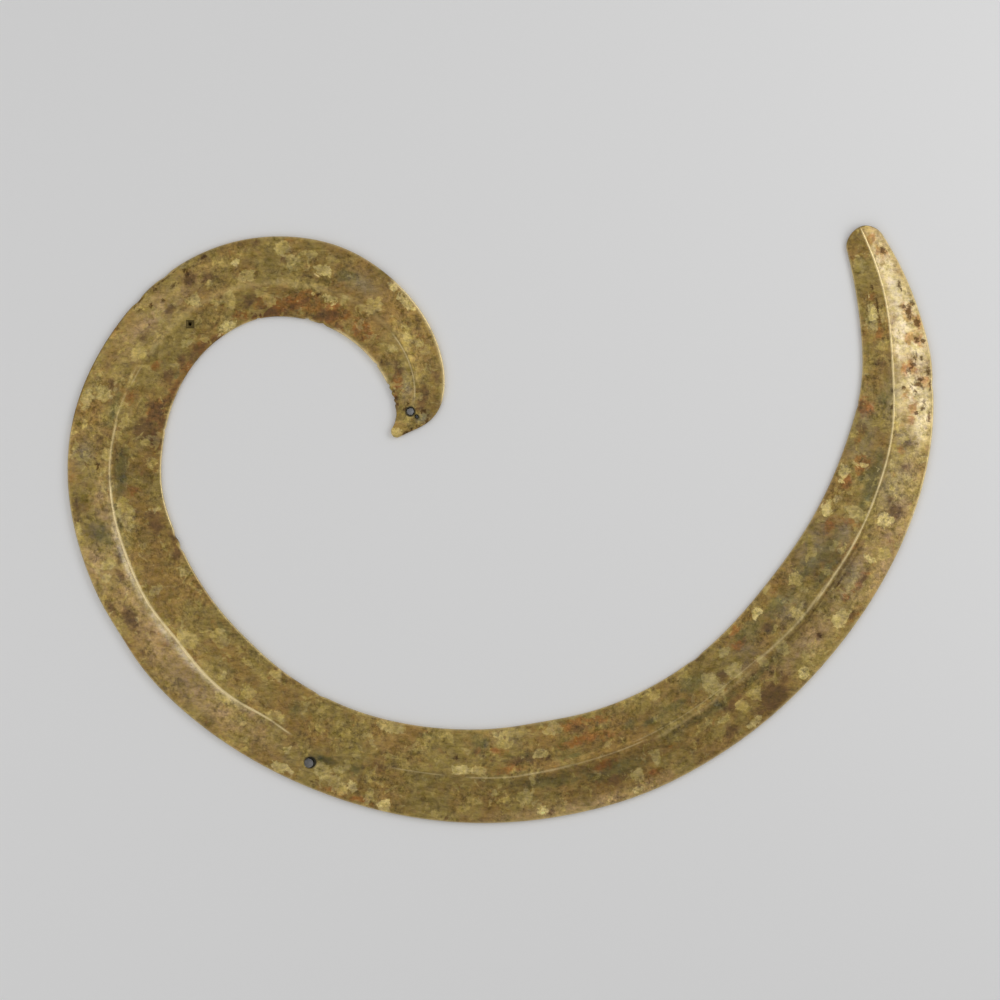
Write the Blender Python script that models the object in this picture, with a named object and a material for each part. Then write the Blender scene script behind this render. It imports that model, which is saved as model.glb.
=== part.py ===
"""A head ornament of hammered brass sheet, lying on its back with the ridge up.

One band curls in its own plane into an open spiral. It starts as a flat beak inside the curl,
widens, and narrows again to a rounded tail. A ridge hammered up from behind runs along its
middle, so the band is a shallow roof in section, hollow underneath, between two level rims.
Metres, +Z up. The origin is the middle of the underside of the ornament's box.
"""

import math
from collections import namedtuple

import bmesh
import bpy
import numpy as np

# Plan: the ridge line's greatest distance from the curl's hub, and the band's full width
REACH = 0.192
BAND_WIDTH = 0.0295

# Section: the sheet, the ridge's height over the rims, the level rims and their softened corners
SHEET = 0.0014
CREST_RISE = 0.0045
RIM_LAND = 0.0016
EDGE_BREAK = 0.0004

# Ends: how far the tail and the beak are rounded off, and where the ridge rises out of the flat beak
TAIL_ROUND = 0.005
BEAK_ROUND = 0.0012
BEAK_FLAT = 0.004
BEAK_SLOPE = 0.020

# Holes, punched straight down through the sheet
TIE_HOLE = 0.0036
BEAK_HOLE = 0.0027
PIN_HOLE = 0.0011
NAIL_HOLE = 0.0024

# The rim land takes at most this share of a narrow flange
LAND_LIMIT = 0.25
# How much of the ridge's rise is in the steep fold beside the crest, and how steep that fold is
FOLD_SHARE = 0.3
FOLD_POWER = 4

# The spacing of the rows along the band, on its body, near the beak and round an end
BODY_STEP = 0.004
BEAK_STEP = 0.0014
BEAK_LENGTH = 0.018
END_ROWS = 5

# Points across each flange, as shares of the way from the ridge to the rim land
FLANK_SHARES = (0.0, 0.1, 0.35, 0.7, 1.0)

BRASS_COLOUR = (0.26, 0.18, 0.065, 1.0)
BRASS_ROUGHNESS = 0.45

# The band at stations round the hub: turn in degrees anticlockwise from the beak, the ridge's
# distance from the hub as a share of REACH, and each flange's width as a share of BAND_WIDTH
Station = namedtuple("Station", "turn ridge inner outer")
STATIONS = (
    Station(0, 0.175, 0.07, 0.04),
    Station(5, 0.193, 0.12, 0.10),
    Station(10, 0.207, 0.18, 0.21),
    Station(20, 0.225, 0.27, 0.31),
    Station(30, 0.235, 0.32, 0.34),
    Station(60, 0.246, 0.37, 0.42),
    Station(90, 0.250, 0.37, 0.48),
    Station(120, 0.256, 0.42, 0.46),
    Station(150, 0.259, 0.46, 0.45),
    Station(180, 0.280, 0.54, 0.45),
    Station(200, 0.301, 0.55, 0.44),
    Station(220, 0.331, 0.58, 0.43),
    Station(240, 0.374, 0.58, 0.45),
    Station(260, 0.438, 0.54, 0.44),
    Station(280, 0.524, 0.48, 0.46),
    Station(300, 0.638, 0.49, 0.50),
    Station(320, 0.767, 0.48, 0.51),
    Station(332, 0.835, 0.45, 0.54),
    Station(340, 0.886, 0.51, 0.50),
    Station(350, 0.944, 0.51, 0.46),
    Station(360, 0.985, 0.44, 0.43),
    Station(366, 0.995, 0.35, 0.40),
    Station(373, 1.001, 0.30, 0.29),
    Station(380, 0.994, 0.20, 0.16),
)

# Where each hole is: its turn about the hub in degrees, and how far it is across the outer
# flange, as a share of that flange's width. A place on the inner flange is negative
Hole = namedtuple("Hole", "name turn place across sides")
HOLES = (
    Hole("tie_hole_cutter", 276.0, 0.44, TIE_HOLE, 24),
    Hole("beak_hole_cutter", 10.8, -0.06, BEAK_HOLE, 24),
    Hole("pin_hole_cutter", 10.0, 0.34, PIN_HOLE, 12),
    Hole("nail_hole_cutter", 130.3, -0.28, NAIL_HOLE, 4),
)


def clear_scene():
    for old in list(bpy.data.objects):
        bpy.data.objects.remove(old, do_unlink=True)


def natural_spline(knots, values):
    """Return a function that gives the smooth curve through the values, and its slope."""
    knots = np.asarray(knots, float)
    values = np.asarray(values, float)
    gaps = np.diff(knots)
    count = len(knots)
    system = np.eye(count)
    right = np.zeros(count)
    for k in range(1, count - 1):
        system[k, k - 1 : k + 2] = gaps[k - 1], 2 * (gaps[k - 1] + gaps[k]), gaps[k]
        rise = (values[k + 1] - values[k]) / gaps[k]
        right[k] = 6 * (rise - (values[k] - values[k - 1]) / gaps[k - 1])
    bend = np.linalg.solve(system, right)

    def at(x):
        k = np.clip(np.searchsorted(knots, x) - 1, 0, count - 2)
        gap = gaps[k]
        left = (knots[k + 1] - x) / gap
        near = 1 - left
        value = left * values[k] + near * values[k + 1]
        value += ((left**3 - left) * bend[k] + (near**3 - near) * bend[k + 1]) * gap**2 / 6
        slope = (values[k + 1] - values[k]) / gap
        slope += ((3 * near**2 - 1) * bend[k + 1] - (3 * left**2 - 1) * bend[k]) * gap / 6
        return value, slope

    return at


TURNS = [math.radians(station.turn) for station in STATIONS]
ridge_share = natural_spline(TURNS, [station.ridge for station in STATIONS])
inner_share = natural_spline(TURNS, [station.inner for station in STATIONS])
outer_share = natural_spline(TURNS, [station.outer for station in STATIONS])


def ridge_frame(turn):
    """The ridge's plan point about the hub, and the unit direction square to it, outwards."""
    share, slope = ridge_share(turn)
    radial = np.stack([np.cos(turn), np.sin(turn)], -1)
    along = np.stack([-np.sin(turn), np.cos(turn)], -1)
    point = REACH * share[..., None] * radial
    tangent = slope[..., None] * radial + share[..., None] * along
    tangent /= np.linalg.norm(tangent, axis=-1, keepdims=True)
    outward = np.stack([tangent[..., 1], -tangent[..., 0]], -1)
    return point, outward


def travel_table():
    """Turns in fine steps, and the distance travelled along the ridge to each."""
    turns = np.linspace(TURNS[0], TURNS[-1], 4000)
    points, _ = ridge_frame(turns)
    steps = np.linalg.norm(np.diff(points, axis=0), axis=1)
    return turns, np.concatenate([[0.0], np.cumsum(steps)])


def end_distances(length):
    """Distances from an end of the band to the rows that round it off, nearest first."""
    angles = np.linspace(0.06, 1.0, END_ROWS) * math.pi / 2
    return length * (1 - np.cos(angles))


def row_travels(total):
    """Where the rows stand along the ridge: close together where the outline turns quickly."""
    beak_end = BEAK_ROUND + BEAK_LENGTH
    tail_start = total - TAIL_ROUND
    beak_rows = round(BEAK_LENGTH / BEAK_STEP)
    body_rows = round((tail_start - beak_end) / BODY_STEP)
    return np.concatenate(
        [
            end_distances(BEAK_ROUND),
            np.linspace(BEAK_ROUND, beak_end, beak_rows + 1)[1:],
            np.linspace(beak_end, tail_start, body_rows + 1)[1:],
            total - end_distances(TAIL_ROUND)[-2::-1],
        ]
    )


def rounding(travel, total):
    """How much of the flange widths is left where an end is rounded off."""
    from_beak = np.clip(travel / BEAK_ROUND, 0, 1)
    from_tail = np.clip((total - travel) / TAIL_ROUND, 0, 1)
    return np.sqrt(1 - (1 - from_beak) ** 2) * np.sqrt(1 - (1 - from_tail) ** 2)


def ease(share):
    share = np.clip(share, 0, 1)
    return share * share * (3 - 2 * share)


def crest_height(travel, width):
    """The ridge over the rims: in proportion to the band's width, and fading out on the beak."""
    return CREST_RISE * width / BAND_WIDTH * ease((travel - BEAK_FLAT) / BEAK_SLOPE)


def land_width(flange):
    return min(RIM_LAND, LAND_LIMIT * flange)


def underside(distance, flange, crest):
    """The height of the sheet's underside at a distance from the ridge line."""
    flank = flange - land_width(flange)
    climb = max(0.0, 1 - distance / flank)
    return crest * ((1 - FOLD_SHARE) * climb + FOLD_SHARE * climb**FOLD_POWER)


def flange_profile(flange, left_share, crest):
    """(distance, underside, top) from the ridge to the edge of one flange, as it is trimmed."""
    edge = flange * left_share
    foot = (flange - land_width(flange)) * left_share
    corner = min(EDGE_BREAK, edge - foot)
    distances = [foot * share for share in FLANK_SHARES]
    below = [(d, underside(d, flange, crest)) for d in distances + [edge]]
    above = [(d, underside(d, flange, crest) + SHEET) for d in distances + [edge - corner]]
    above.append((edge, underside(edge, flange, crest) + SHEET - corner))
    return below, above


def section(inner, outer, left_share, crest):
    """The closed section as (distance outside the ridge, height), anticlockwise from the tail."""
    inner_below, inner_above = flange_profile(inner, left_share, crest)
    outer_below, outer_above = flange_profile(outer, left_share, crest)
    below = [(-d, z) for d, z in reversed(inner_below)] + outer_below[1:]
    above = [(d, z) for d, z in reversed(outer_above)] + [(-d, z) for d, z in inner_above[1:]]
    return below + above


def band_rows():
    """The band's section points, row by row, about the hub."""
    fine_turns, fine_travel = travel_table()
    total = fine_travel[-1]
    travels = row_travels(total)
    turns = np.interp(travels, fine_travel, fine_turns)
    points, outwards = ridge_frame(turns)
    inner = BAND_WIDTH * inner_share(turns)[0]
    outer = BAND_WIDTH * outer_share(turns)[0]
    left = rounding(travels, total)
    crest = crest_height(travels, inner + outer)
    rows = []
    for k in range(len(turns)):
        profile = np.array(section(inner[k], outer[k], left[k], crest[k]))
        plan = points[k] + profile[:, :1] * outwards[k]
        rows.append(np.column_stack([plan, profile[:, 1]]))
    return np.array(rows)


def skin(rows):
    """A closed mesh over rows of section points, capped at both ends."""
    mesh = bmesh.new()
    loops = [[mesh.verts.new(point) for point in row] for row in rows]
    around = len(loops[0])
    for near, far in zip(loops, loops[1:]):
        for k in range(around):
            after = (k + 1) % around
            mesh.faces.new((near[k], near[after], far[after], far[k]))
    mesh.faces.new(loops[0])
    mesh.faces.new(reversed(loops[-1]))
    bmesh.ops.recalc_face_normals(mesh, faces=mesh.faces)
    return mesh


def brass():
    material = bpy.data.materials.new("aged_brass")
    material.use_nodes = True
    shader = material.node_tree.nodes["Principled BSDF"]
    shader.inputs["Base Color"].default_value = BRASS_COLOUR
    shader.inputs["Metallic"].default_value = 1.0
    shader.inputs["Roughness"].default_value = BRASS_ROUGHNESS
    return material


def add_object(name, mesh):
    data = bpy.data.meshes.new(name)
    mesh.to_mesh(data)
    mesh.free()
    made = bpy.data.objects.new(name, data)
    bpy.context.scene.collection.objects.link(made)
    return made


def hole_cutter(hole, hub):
    """A straight punch through the sheet, longer than the ornament is high."""
    turn = np.radians(hole.turn)
    point, outward = ridge_frame(turn)
    flange, _ = outer_share(turn) if hole.place > 0 else inner_share(turn)
    place = hub + point + hole.place * BAND_WIDTH * flange * outward
    radius = hole.across / 2 / math.cos(math.pi / hole.sides)
    mesh = bmesh.new()
    bmesh.ops.create_cone(
        mesh,
        cap_ends=True,
        segments=hole.sides,
        radius1=radius,
        radius2=radius,
        depth=4 * (CREST_RISE + SHEET),
    )
    cutter = add_object(hole.name, mesh)
    cutter.location = (*place, 0.0)
    cutter.rotation_euler.z = turn
    cutter.hide_render = True
    cutter.display_type = "WIRE"
    return cutter


def punch(band, cutter):
    cut = band.modifiers.new(cutter.name, "BOOLEAN")
    cut.operation = "DIFFERENCE"
    cut.solver = "EXACT"
    cut.object = cutter


def head_ornament():
    rows = band_rows()
    points = rows.reshape(-1, 3)
    middle = (points.min(axis=0) + points.max(axis=0)) / 2
    hub = -middle[:2]
    rows[:, :, :2] += hub
    band = add_object("head_ornament", skin(rows))
    band.data.shade_smooth()
    band.data.set_sharp_from_angle(angle=math.radians(12))
    band.data.materials.append(brass())
    for hole in HOLES:
        punch(band, hole_cutter(hole, hub))
    return band


clear_scene()
head_ornament()
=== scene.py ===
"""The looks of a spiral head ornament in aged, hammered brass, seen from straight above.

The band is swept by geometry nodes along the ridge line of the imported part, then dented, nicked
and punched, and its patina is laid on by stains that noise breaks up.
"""

import math
from collections import namedtuple

import bmesh
import bpy
import numpy as np
from mathutils.kdtree import KDTree
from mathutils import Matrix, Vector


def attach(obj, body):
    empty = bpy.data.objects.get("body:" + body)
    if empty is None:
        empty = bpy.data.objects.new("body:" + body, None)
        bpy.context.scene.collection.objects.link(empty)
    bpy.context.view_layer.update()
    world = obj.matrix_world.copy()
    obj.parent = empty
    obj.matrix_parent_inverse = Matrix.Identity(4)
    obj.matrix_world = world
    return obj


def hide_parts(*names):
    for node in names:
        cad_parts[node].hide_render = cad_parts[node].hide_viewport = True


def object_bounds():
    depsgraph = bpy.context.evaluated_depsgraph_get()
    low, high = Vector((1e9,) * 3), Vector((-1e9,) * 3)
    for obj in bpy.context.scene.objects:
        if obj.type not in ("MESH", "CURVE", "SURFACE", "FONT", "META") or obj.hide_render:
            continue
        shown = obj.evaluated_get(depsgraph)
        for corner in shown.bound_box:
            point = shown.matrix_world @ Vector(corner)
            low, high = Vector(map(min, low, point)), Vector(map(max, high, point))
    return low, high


bl_info = {
    "name": "Head Ornament",
    "version": (1, 0, 0),
    "blender": (4, 5, 0),
    "location": "View3D > Sidebar > Head Ornament",
    "description": "Builds the spiral band, its aged brass and a plain studio around it",
    "category": "Object",
}

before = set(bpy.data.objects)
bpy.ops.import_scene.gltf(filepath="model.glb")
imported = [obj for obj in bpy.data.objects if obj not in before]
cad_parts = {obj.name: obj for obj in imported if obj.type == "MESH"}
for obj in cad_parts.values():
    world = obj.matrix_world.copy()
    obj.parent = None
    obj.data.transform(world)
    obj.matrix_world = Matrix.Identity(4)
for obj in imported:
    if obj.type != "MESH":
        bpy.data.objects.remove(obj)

NODE = "head_ornament"
BAND = "hammered_band"
SLOT = "aged_brass"
MM = 0.001

LOW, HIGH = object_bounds()
SPAN = HIGH[0] - LOW[0]
MIDDLE = [(low + high) / 2 for low, high in zip(LOW, HIGH)]
HEIGHT = HIGH[2] - LOW[2]

# The plan's sizes as shares of the ornament's long side
REACH_SHARE = 0.7102
BAND_SHARE = 0.1091

# The ends, in metres along the ridge, the rows in each rounded end, and how many points the
# ridge line is sampled at
TAIL_ROUND = 0.005
BEAK_ROUND = 0.0012
BEAK_FLAT = 0.004
BEAK_SLOPE = 0.020
END_ROWS = 14
RIDGE_SAMPLES = 6000

# The sheet in metres: its thickness, the level strip along its rims, how far in they are
# rounded, the depth and spacing of the hammer blows, how near points have to be to merge, how
# far apart the mesh's rows are, and how many points its faces have across
SHEET = 0.0014
RIM_LAND = 0.0005
EDGE_ROUND = 0.0003
HAMMER_DEPTH = 0.00012
HAMMER_SIZE = 0.011
MERGE_DISTANCE = 2e-6
ROW_STEP = 0.0006
TOP_COLUMNS = 65
UNDER_COLUMNS = 29

# In millimetres: how far in a nick reaches, over what length a worn line, painted highlight or
# painted shadow line fades in and out, to what depth a stain is reckoned, and from where and over
# what width the zones outside the crest fade in
NICK_REACH = 1.6
LINE_FADE = 4
STAIN_DEPTH = 1.5
ZONE_START = -0.5
ZONE_FADE = 0.6

# The soft step at a hole's wall and the width of the ring of painted shade round it, in metres
HOLE_STEP = 0.0001
HOLE_RING = 0.0006

# How steeply a dent's sides fall, how much the grain along the band is stretched, the range
# that most of a noise lies in, and the depth of the patina's relief in metres
DENT_FALL = 4
GRAIN_STRETCH = 0.12
NOISE_RANGE = (0.25, 0.75)
RELIEF_DEPTH = 0.00016

# The picture: the share of its width that the ornament takes up, the camera's place from the
# ornament's middle as a share of its length, the sensor's width in millimetres, and in metres
# the height at which the picture's width is measured and the nearest and farthest it shows
PICTURE_SHARE = 0.8662
CAMERA_OFFSET = (-0.0006, 0.0280)
SENSOR = 36.0
RIM_TOP = 0.0012
CAMERA_CLIP = (0.05, 20.0)

# The floor's half width and how far it lies under the ornament, in metres, and how matt it is
FLOOR_HALF = 8 * SPAN
FLOOR_DROP = 0.0001
FLOOR_ROUGHNESS = 0.9


def table(name, fields, *rows):
    """A table's rows as named tuples."""
    kind = namedtuple(name, fields)
    return [kind(*row) for row in rows]


# Softboxes: power in watts, turn round the ornament from its +X side and tilt from overhead
# in degrees, and width in metres, with the depth and distance in metres that all share
SOFTBOXES = table(
    "Softbox",
    "name power turn tilt width",
    ("key_softbox", 1.10, 22, 52, 0.60),
    ("left_softbox", 0.42, 203, 50, 0.60),
    ("top_softbox", 0.22, 148, 32, 0.30),
)
SOFTBOX_DEPTH = 0.30
SOFTBOX_AWAY = 0.62

# The band at stations round the hub: turn in degrees from the beak, the ridge's distance from
# the hub as a share of its reach, and each flange's width as a share of the band's
STATIONS = table(
    "Station",
    "turn ridge inner outer",
    (0, 0.175, 0.07, 0.04), (5, 0.193, 0.12, 0.1), (10, 0.207, 0.18, 0.21), (20, 0.225, 0.27, 0.31),
    (30, 0.235, 0.32, 0.34), (60, 0.246, 0.37, 0.42), (90, 0.25, 0.37, 0.48),
    (120, 0.256, 0.42, 0.46), (150, 0.259, 0.46, 0.45), (180, 0.28, 0.54, 0.45),
    (200, 0.301, 0.55, 0.44), (220, 0.331, 0.58, 0.43), (240, 0.374, 0.58, 0.45),
    (260, 0.438, 0.54, 0.44), (280, 0.524, 0.48, 0.46), (300, 0.638, 0.49, 0.5),
    (320, 0.767, 0.48, 0.51), (332, 0.835, 0.45, 0.54), (340, 0.886, 0.51, 0.5),
    (350, 0.944, 0.51, 0.46), (360, 0.985, 0.44, 0.43), (366, 0.995, 0.35, 0.4),
    (373, 1.001, 0.3, 0.29), (380, 0.994, 0.2, 0.16),
)

# How the crest changes along the band, by millimetres from the beak: the width of its flat top
# and the softness of its shoulders in millimetres, and how much of its height it has kept
CRESTS = table(
    "Crest",
    "along flat soft kept",
    (0, 0.4, 1, 1), (12, 0.3, 0.3, 1), (32, 0.3, 0.4, 1), (42, 1.4, 1.2, 0.85), (75, 2, 0.9, 0.85),
    (130, 1.6, 0.9, 0.85), (150, 0.3, 0.3, 0.95), (165, 0.1, 0.12, 1), (235, 0.1, 0.12, 1),
    (258, 0.3, 0.5, 0.85), (275, 0.6, 3.4, 0.55), (305, 0.8, 3, 0.55), (335, 1.2, 1.6, 0.65),
    (350, 0.8, 0.9, 0.75), (385, 2.2, 0.5, 0.85), (415, 2.8, 0.4, 0.9), (440, 2, 0.3, 0.95),
    (455, 0.3, 0.2, 1), (576, 0.1, 0.12, 1),
)

# How far outside the smooth ridge line the hand-beaten crest strays, both in millimetres
SWAYS = table(
    "Sway",
    "along out",
    (0, -0.2), (35, -0.3), (60, -0.6), (100, -0.7), (130, -0.6), (150, -0.5), (165, -0.35),
    (180, -0.5), (198, -0.6), (208, -0.3), (220, -0.9), (232, -0.3), (250, -0.1), (260, -0.7),
    (267, 0.1), (300, 0), (318, 0), (338, 0.4), (355, -0.2), (365, -0.4), (378, -0.2), (410, 0.1),
    (430, 0.2), (450, 0.2), (458, -0.15), (470, -0.1), (490, -0.25), (514, -0.1), (530, -0.5),
    (545, -0.4), (560, -0.1), (577, -0.1),
)

# Holes: turn about the hub, place across the flange as in the stations, width and sides, the
# share of the width left at the underside, how far the punch leant to +X and +Y, and how dark
# the ring of painted shade round it is
HOLES = table(
    "Hole",
    "turn place across sides narrow lean rim",
    (276, 0.44, 0.0036, 40, 0.8, (-0.0006, -0.0003), 0.5),
    (10.8, -0.06, 0.0027, 40, 0.8, (0, 0), 0.9),
    (10, 0.34, 0.0012, 20, 0.6, (0, 0), 0.6),
    (130.3, -0.28, 0.0026, 4, 0.22, (0, 0), 0),
)

# Dents and scratches in millimetres: along and outside the ridge, half length, half width,
# the turn of its long axis in degrees, and how deep it goes
DENTS = table(
    "Dent",
    "along across length width turn depth",
    (549.5, -3.2, 6.5, 0.45, 4, 0.45), (549, -4.6, 5.5, 0.9, 4, -0.18),
    (461, 2.4, 2.6, 0.35, 2, 0.35), (281.5, 3.7, 3.4, 1, -10, 0.2), (9.3, 4.1, 1.2, 1.2, 0, 0.25),
    (8, -2.3, 0.8, 0.6, 0, 0.35), (70, -2.6, 0.7, 0.6, 0, 0.25), (414, -3.2, 2, 1.8, 0, 0.15),
    (223.5, 7, 12, 3, 0, 0.12), (330, -9.5, 10, 2.5, 0, 0.12), (505, -6, 9, 2.5, 0, 0.14),
    (182, 6.5, 6, 3, 0, 0.16),
)

# Nicks in the rim in millimetres: along, which edge (-1 inner, 1 outer), half length and depth,
# which is negative where the edge swells outwards
NICKS = table(
    "Nick",
    "along edge length depth",
    (2, -1, 2.5, 0.5), (6.5, -1, 2.5, 0.35), (10.6, -1, 0.7, 0.5), (13, -1, 0.8, 0.6),
    (16, -1, 0.7, 0.5), (19, -1, 0.8, 0.5), (30, -1, 0.8, 0.4), (58.5, -1, 1, 0.4),
    (65, -1, 0.8, 0.5), (84.5, -1, 0.7, 0.3), (106, 1, 1.4, 0.4), (115, 1, 1.6, 0.4),
    (146.5, -1, 0.7, 0.3), (190.5, -1, 1.5, 0.4), (196, -1, 1.2, 0.4), (272, -1, 1.6, 0.3),
    (411, -1, 2, 0.3), (518, -1, 1, 0.2), (525, 1, 1.2, 0.3), (60, 1, 12, -0.5), (84, -1, 10, 0.35),
    (190, -1, 12, -0.35), (211, 1, 9, 0.55), (240, -1, 12, -0.3), (352, -1, 14, -0.6),
    (376, 1, 16, -0.3), (525, -1, 14, 0.45), (534, 1, 7, -0.35),
)

# Stains in millimetres, as (along, outside the ridge, half length, half width). Tan and cream
# are painted only outside the crest.
PALE_FLAKES = (
    (106.4, -4.4, 1.3, 0.5), (110.4, -2.8, 0.9, 0.5), (107.6, -6, 1, 0.5), (8, 0, 3, 1.2),
    (17, -6.8, 1.4, 0.5), (31.5, -2.5, 1.8, 1.2), (46.3, 2.2, 2.2, 3.1), (32.5, 3, 1.3, 1),
    (29, 5.4, 1.4, 1.6), (73.2, 6.2, 1.3, 2.4), (75.2, 10.6, 2.2, 2.4), (85.3, 2.8, 2.2, 1.8),
    (82, -3, 2.4, 1.4), (93.2, -3.2, 2.6, 2.8), (97, 3.8, 1.2, 1), (79.5, -5.6, 2.4, 2.4),
    (68, 9.4, 2, 1.6), (108, -9.8, 2, 1.2), (114.2, -7.2, 2.2, 1.2), (103.5, 2.2, 2.2, 1.8),
    (126.5, 2.6, 2.6, 2), (141.5, 6.2, 2.2, 2.8), (144, 10.6, 3.2, 1.6), (150.5, 9.6, 1.6, 0.8),
    (160.5, -12.8, 2.6, 1.8), (147.8, -2.8, 2, 1.2), (158.5, 1, 2.2, 1.8), (157, 11.2, 2, 1),
    (178.2, -3.9, 5.2, 2.9), (178.4, -12.6, 1, 2.4), (179, 11.4, 3, 1.1), (191.5, 5.6, 1.6, 2.4),
    (195, 8, 1.4, 2), (204.5, -14.2, 1.8, 1.1), (205, -4.5, 1.5, 2.2), (153, -10.5, 1.6, 1.6),
    (224, -3.6, 4, 2.9), (231.6, -11.2, 3.8, 2.4), (244.5, -11.5, 2, 1), (246, 2, 3, 1.8),
    (254.8, -13.2, 2.8, 1.6), (250.5, -4.2, 3, 2), (216, -1.6, 1.6, 1), (240.5, -4, 1, 2.2),
    (281.5, 6.6, 3.4, 2), (286, 5.6, 2.4, 1.4), (288.5, 10.2, 2.8, 2.2), (284.5, 8.6, 3, 1.8),
    (297.3, 10.8, 1.2, 2.6), (318, 12.6, 2.2, 1), (328.8, -1.6, 2.3, 1.4), (334, 5, 1.6, 1.4),
    (329.9, -4.5, 0.7, 2), (341, -12.6, 5.2, 1.7), (338.5, -9.8, 2.5, 1.6), (354.5, -12.4, 3.4, 2),
    (299, -12.2, 5, 1.8), (342.8, 7.2, 2.4, 2.4), (345.5, 2.8, 1, 3), (349.5, -5.5, 3, 1.8),
    (376.5, 9.6, 1.8, 2.2), (383.2, 5.8, 1.5, 2.4), (392.5, -11.4, 2.4, 1.6),
    (336.5, 7.8, 1.4, 0.9), (409.8, -4.2, 2.6, 3.2), (410, -1.2, 3.2, 1.6), (418, -2.7, 2.4, 2.2),
    (419.8, -9, 1.6, 1.4), (426.8, 1.4, 1.6, 2.8), (434, 2.2, 2.2, 2), (445, -1.4, 1.6, 2.2),
    (453.2, -9.3, 2.6, 2), (402, 5.6, 1.2, 1.2), (407, 7.6, 1.8, 1.2), (413.5, 7.4, 1.8, 2),
    (418.6, 7.6, 1.6, 2), (482.5, -4, 2.2, 3.4), (471, -1.8, 2.2, 1.2), (475, 10, 2, 2),
    (356.5, -12, 2, 1.4), (545.5, -5.6, 2.6, 1.8), (565, -5, 3.2, 2), (554, 3, 2, 1.6),
    (262, -2.4, 3, 1.4),
)
BRIGHT_FLAKES = (
    (0.6, 0.2, 2.6, 2.4), (59, -2.6, 2, 1.4), (40, 9.4, 2.4, 1.5), (44.8, 10.4, 1.5, 1.2),
    (63.8, 5.4, 2.5, 1.8), (65.5, -2.6, 1, 0.7), (98.5, -10.4, 4.4, 1.6), (88, 7.5, 1, 1),
    (269.5, 5.1, 1.2, 0.9), (270.5, 11.2, 3.2, 1.7), (291.5, 8.8, 1.4, 1.8), (302.2, 12, 2, 1.8),
    (323.8, -1.8, 3.1, 1.7), (347.5, 12.4, 1.6, 1.1), (374.2, 13.2, 1.8, 1),
    (433.8, 12.8, 1.7, 1.8), (436.3, -11.2, 2, 1.7), (452.5, 9.4, 3.3, 2.4),
    (413.5, 14.2, 2.4, 1.2), (471.5, 6.6, 1, 2), (480, -12.2, 2.8, 1.8), (483.5, -10.6, 1.8, 1.2),
    (483.8, 5.6, 2.3, 2.4), (498, -6.5, 0.9, 3.4), (493.5, -11.6, 3.4, 1.8), (549, -5, 4, 1.1),
)
UMBER_STAINS = (
    (12.5, -5.6, 2, 0.7), (15, 2.6, 3.2, 2), (19.5, 7, 1.2, 1), (24, -4.2, 2.4, 1.8),
    (28, -7.4, 1.8, 1), (58, -8, 3.2, 2.2), (61.5, -9.5, 1.8, 1), (66.8, -5, 1.6, 1.4),
    (70.8, -8, 1.4, 1.4), (81.5, -9, 3.4, 1.6), (87, -5, 3, 1.6), (75, -10.4, 3, 0.7),
    (74.4, 6.7, 1.2, 1.2), (81.8, 12.4, 1, 0.7), (96, 6, 2, 1.4), (95.3, 12.2, 1, 0.8),
    (101, 8, 2, 2), (110.5, 4, 1.6, 1.2), (116.5, -11, 3.4, 1.6), (127, -9.2, 3.2, 2),
    (122, 4.3, 1.8, 1), (137.5, 5, 1.2, 1.6), (141, -11, 5, 2.4), (148, -9.5, 4.5, 3.6),
    (145, -13.5, 6, 1), (154.5, 3.8, 1.4, 1.2), (173, 10.8, 3, 0.8), (190, 1.6, 3, 1.2),
    (183.5, -12.5, 4, 2), (191, -16, 3, 0.8), (197, -15, 2, 1.5), (208.5, 7.4, 3.8, 2.2),
    (204, 10.5, 2, 1), (219, 10, 1, 1), (297.8, 0.4, 1.4, 0.6), (321.8, -5.6, 1, 0.9),
    (328.5, -7.2, 1.2, 0.8), (319.5, 13.8, 1.6, 0.8), (350, 13, 1, 1.2), (344, -4.5, 5, 1),
    (411, -12.6, 3, 0.6), (423.5, 12, 4.4, 3.2), (428, 9.8, 1.8, 1.2), (412, 5.2, 3, 1.2),
    (417, 12.5, 1.6, 1.4), (406, 12.2, 3, 1.8), (444.5, 7.7, 1, 0.9), (466, 8.2, 3, 0.7),
    (455, 11.5, 2, 1), (449.5, 6, 1.2, 1), (487.8, 7.3, 2.2, 2.8), (490.5, 4.8, 1.2, 1.2),
    (500.5, 6, 1, 1.4), (507.5, 5.4, 1, 1.4), (510, -9.5, 2, 1.5), (518, -10.5, 1.4, 0.9),
    (531.5, -3.5, 2, 1.4), (414, -3.2, 1.8, 1.8), (435.5, -5.5, 2, 1.6), (84, -9.4, 4, 1.4),
    (74, -10.2, 3.6, 1), (56, -6.5, 2, 1.6), (104, -11.6, 2, 0.8), (132, -12.6, 5, 1),
    (112, -11.2, 3, 1), (53, -9.6, 2, 0.7), (119, -9.6, 2.4, 1.2), (139, -9, 2, 1.4),
    (422, 11.5, 4.6, 3.8), (421.5, 13, 4, 2.4), (59, -8.6, 3.2, 1.6), (79, -9.6, 4, 1.2),
    (150, -12.6, 5, 2), (196, 3.4, 2, 1.2), (364, -10.5, 2.5, 1.4), (371, 8, 3, 1.6),
)
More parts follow.
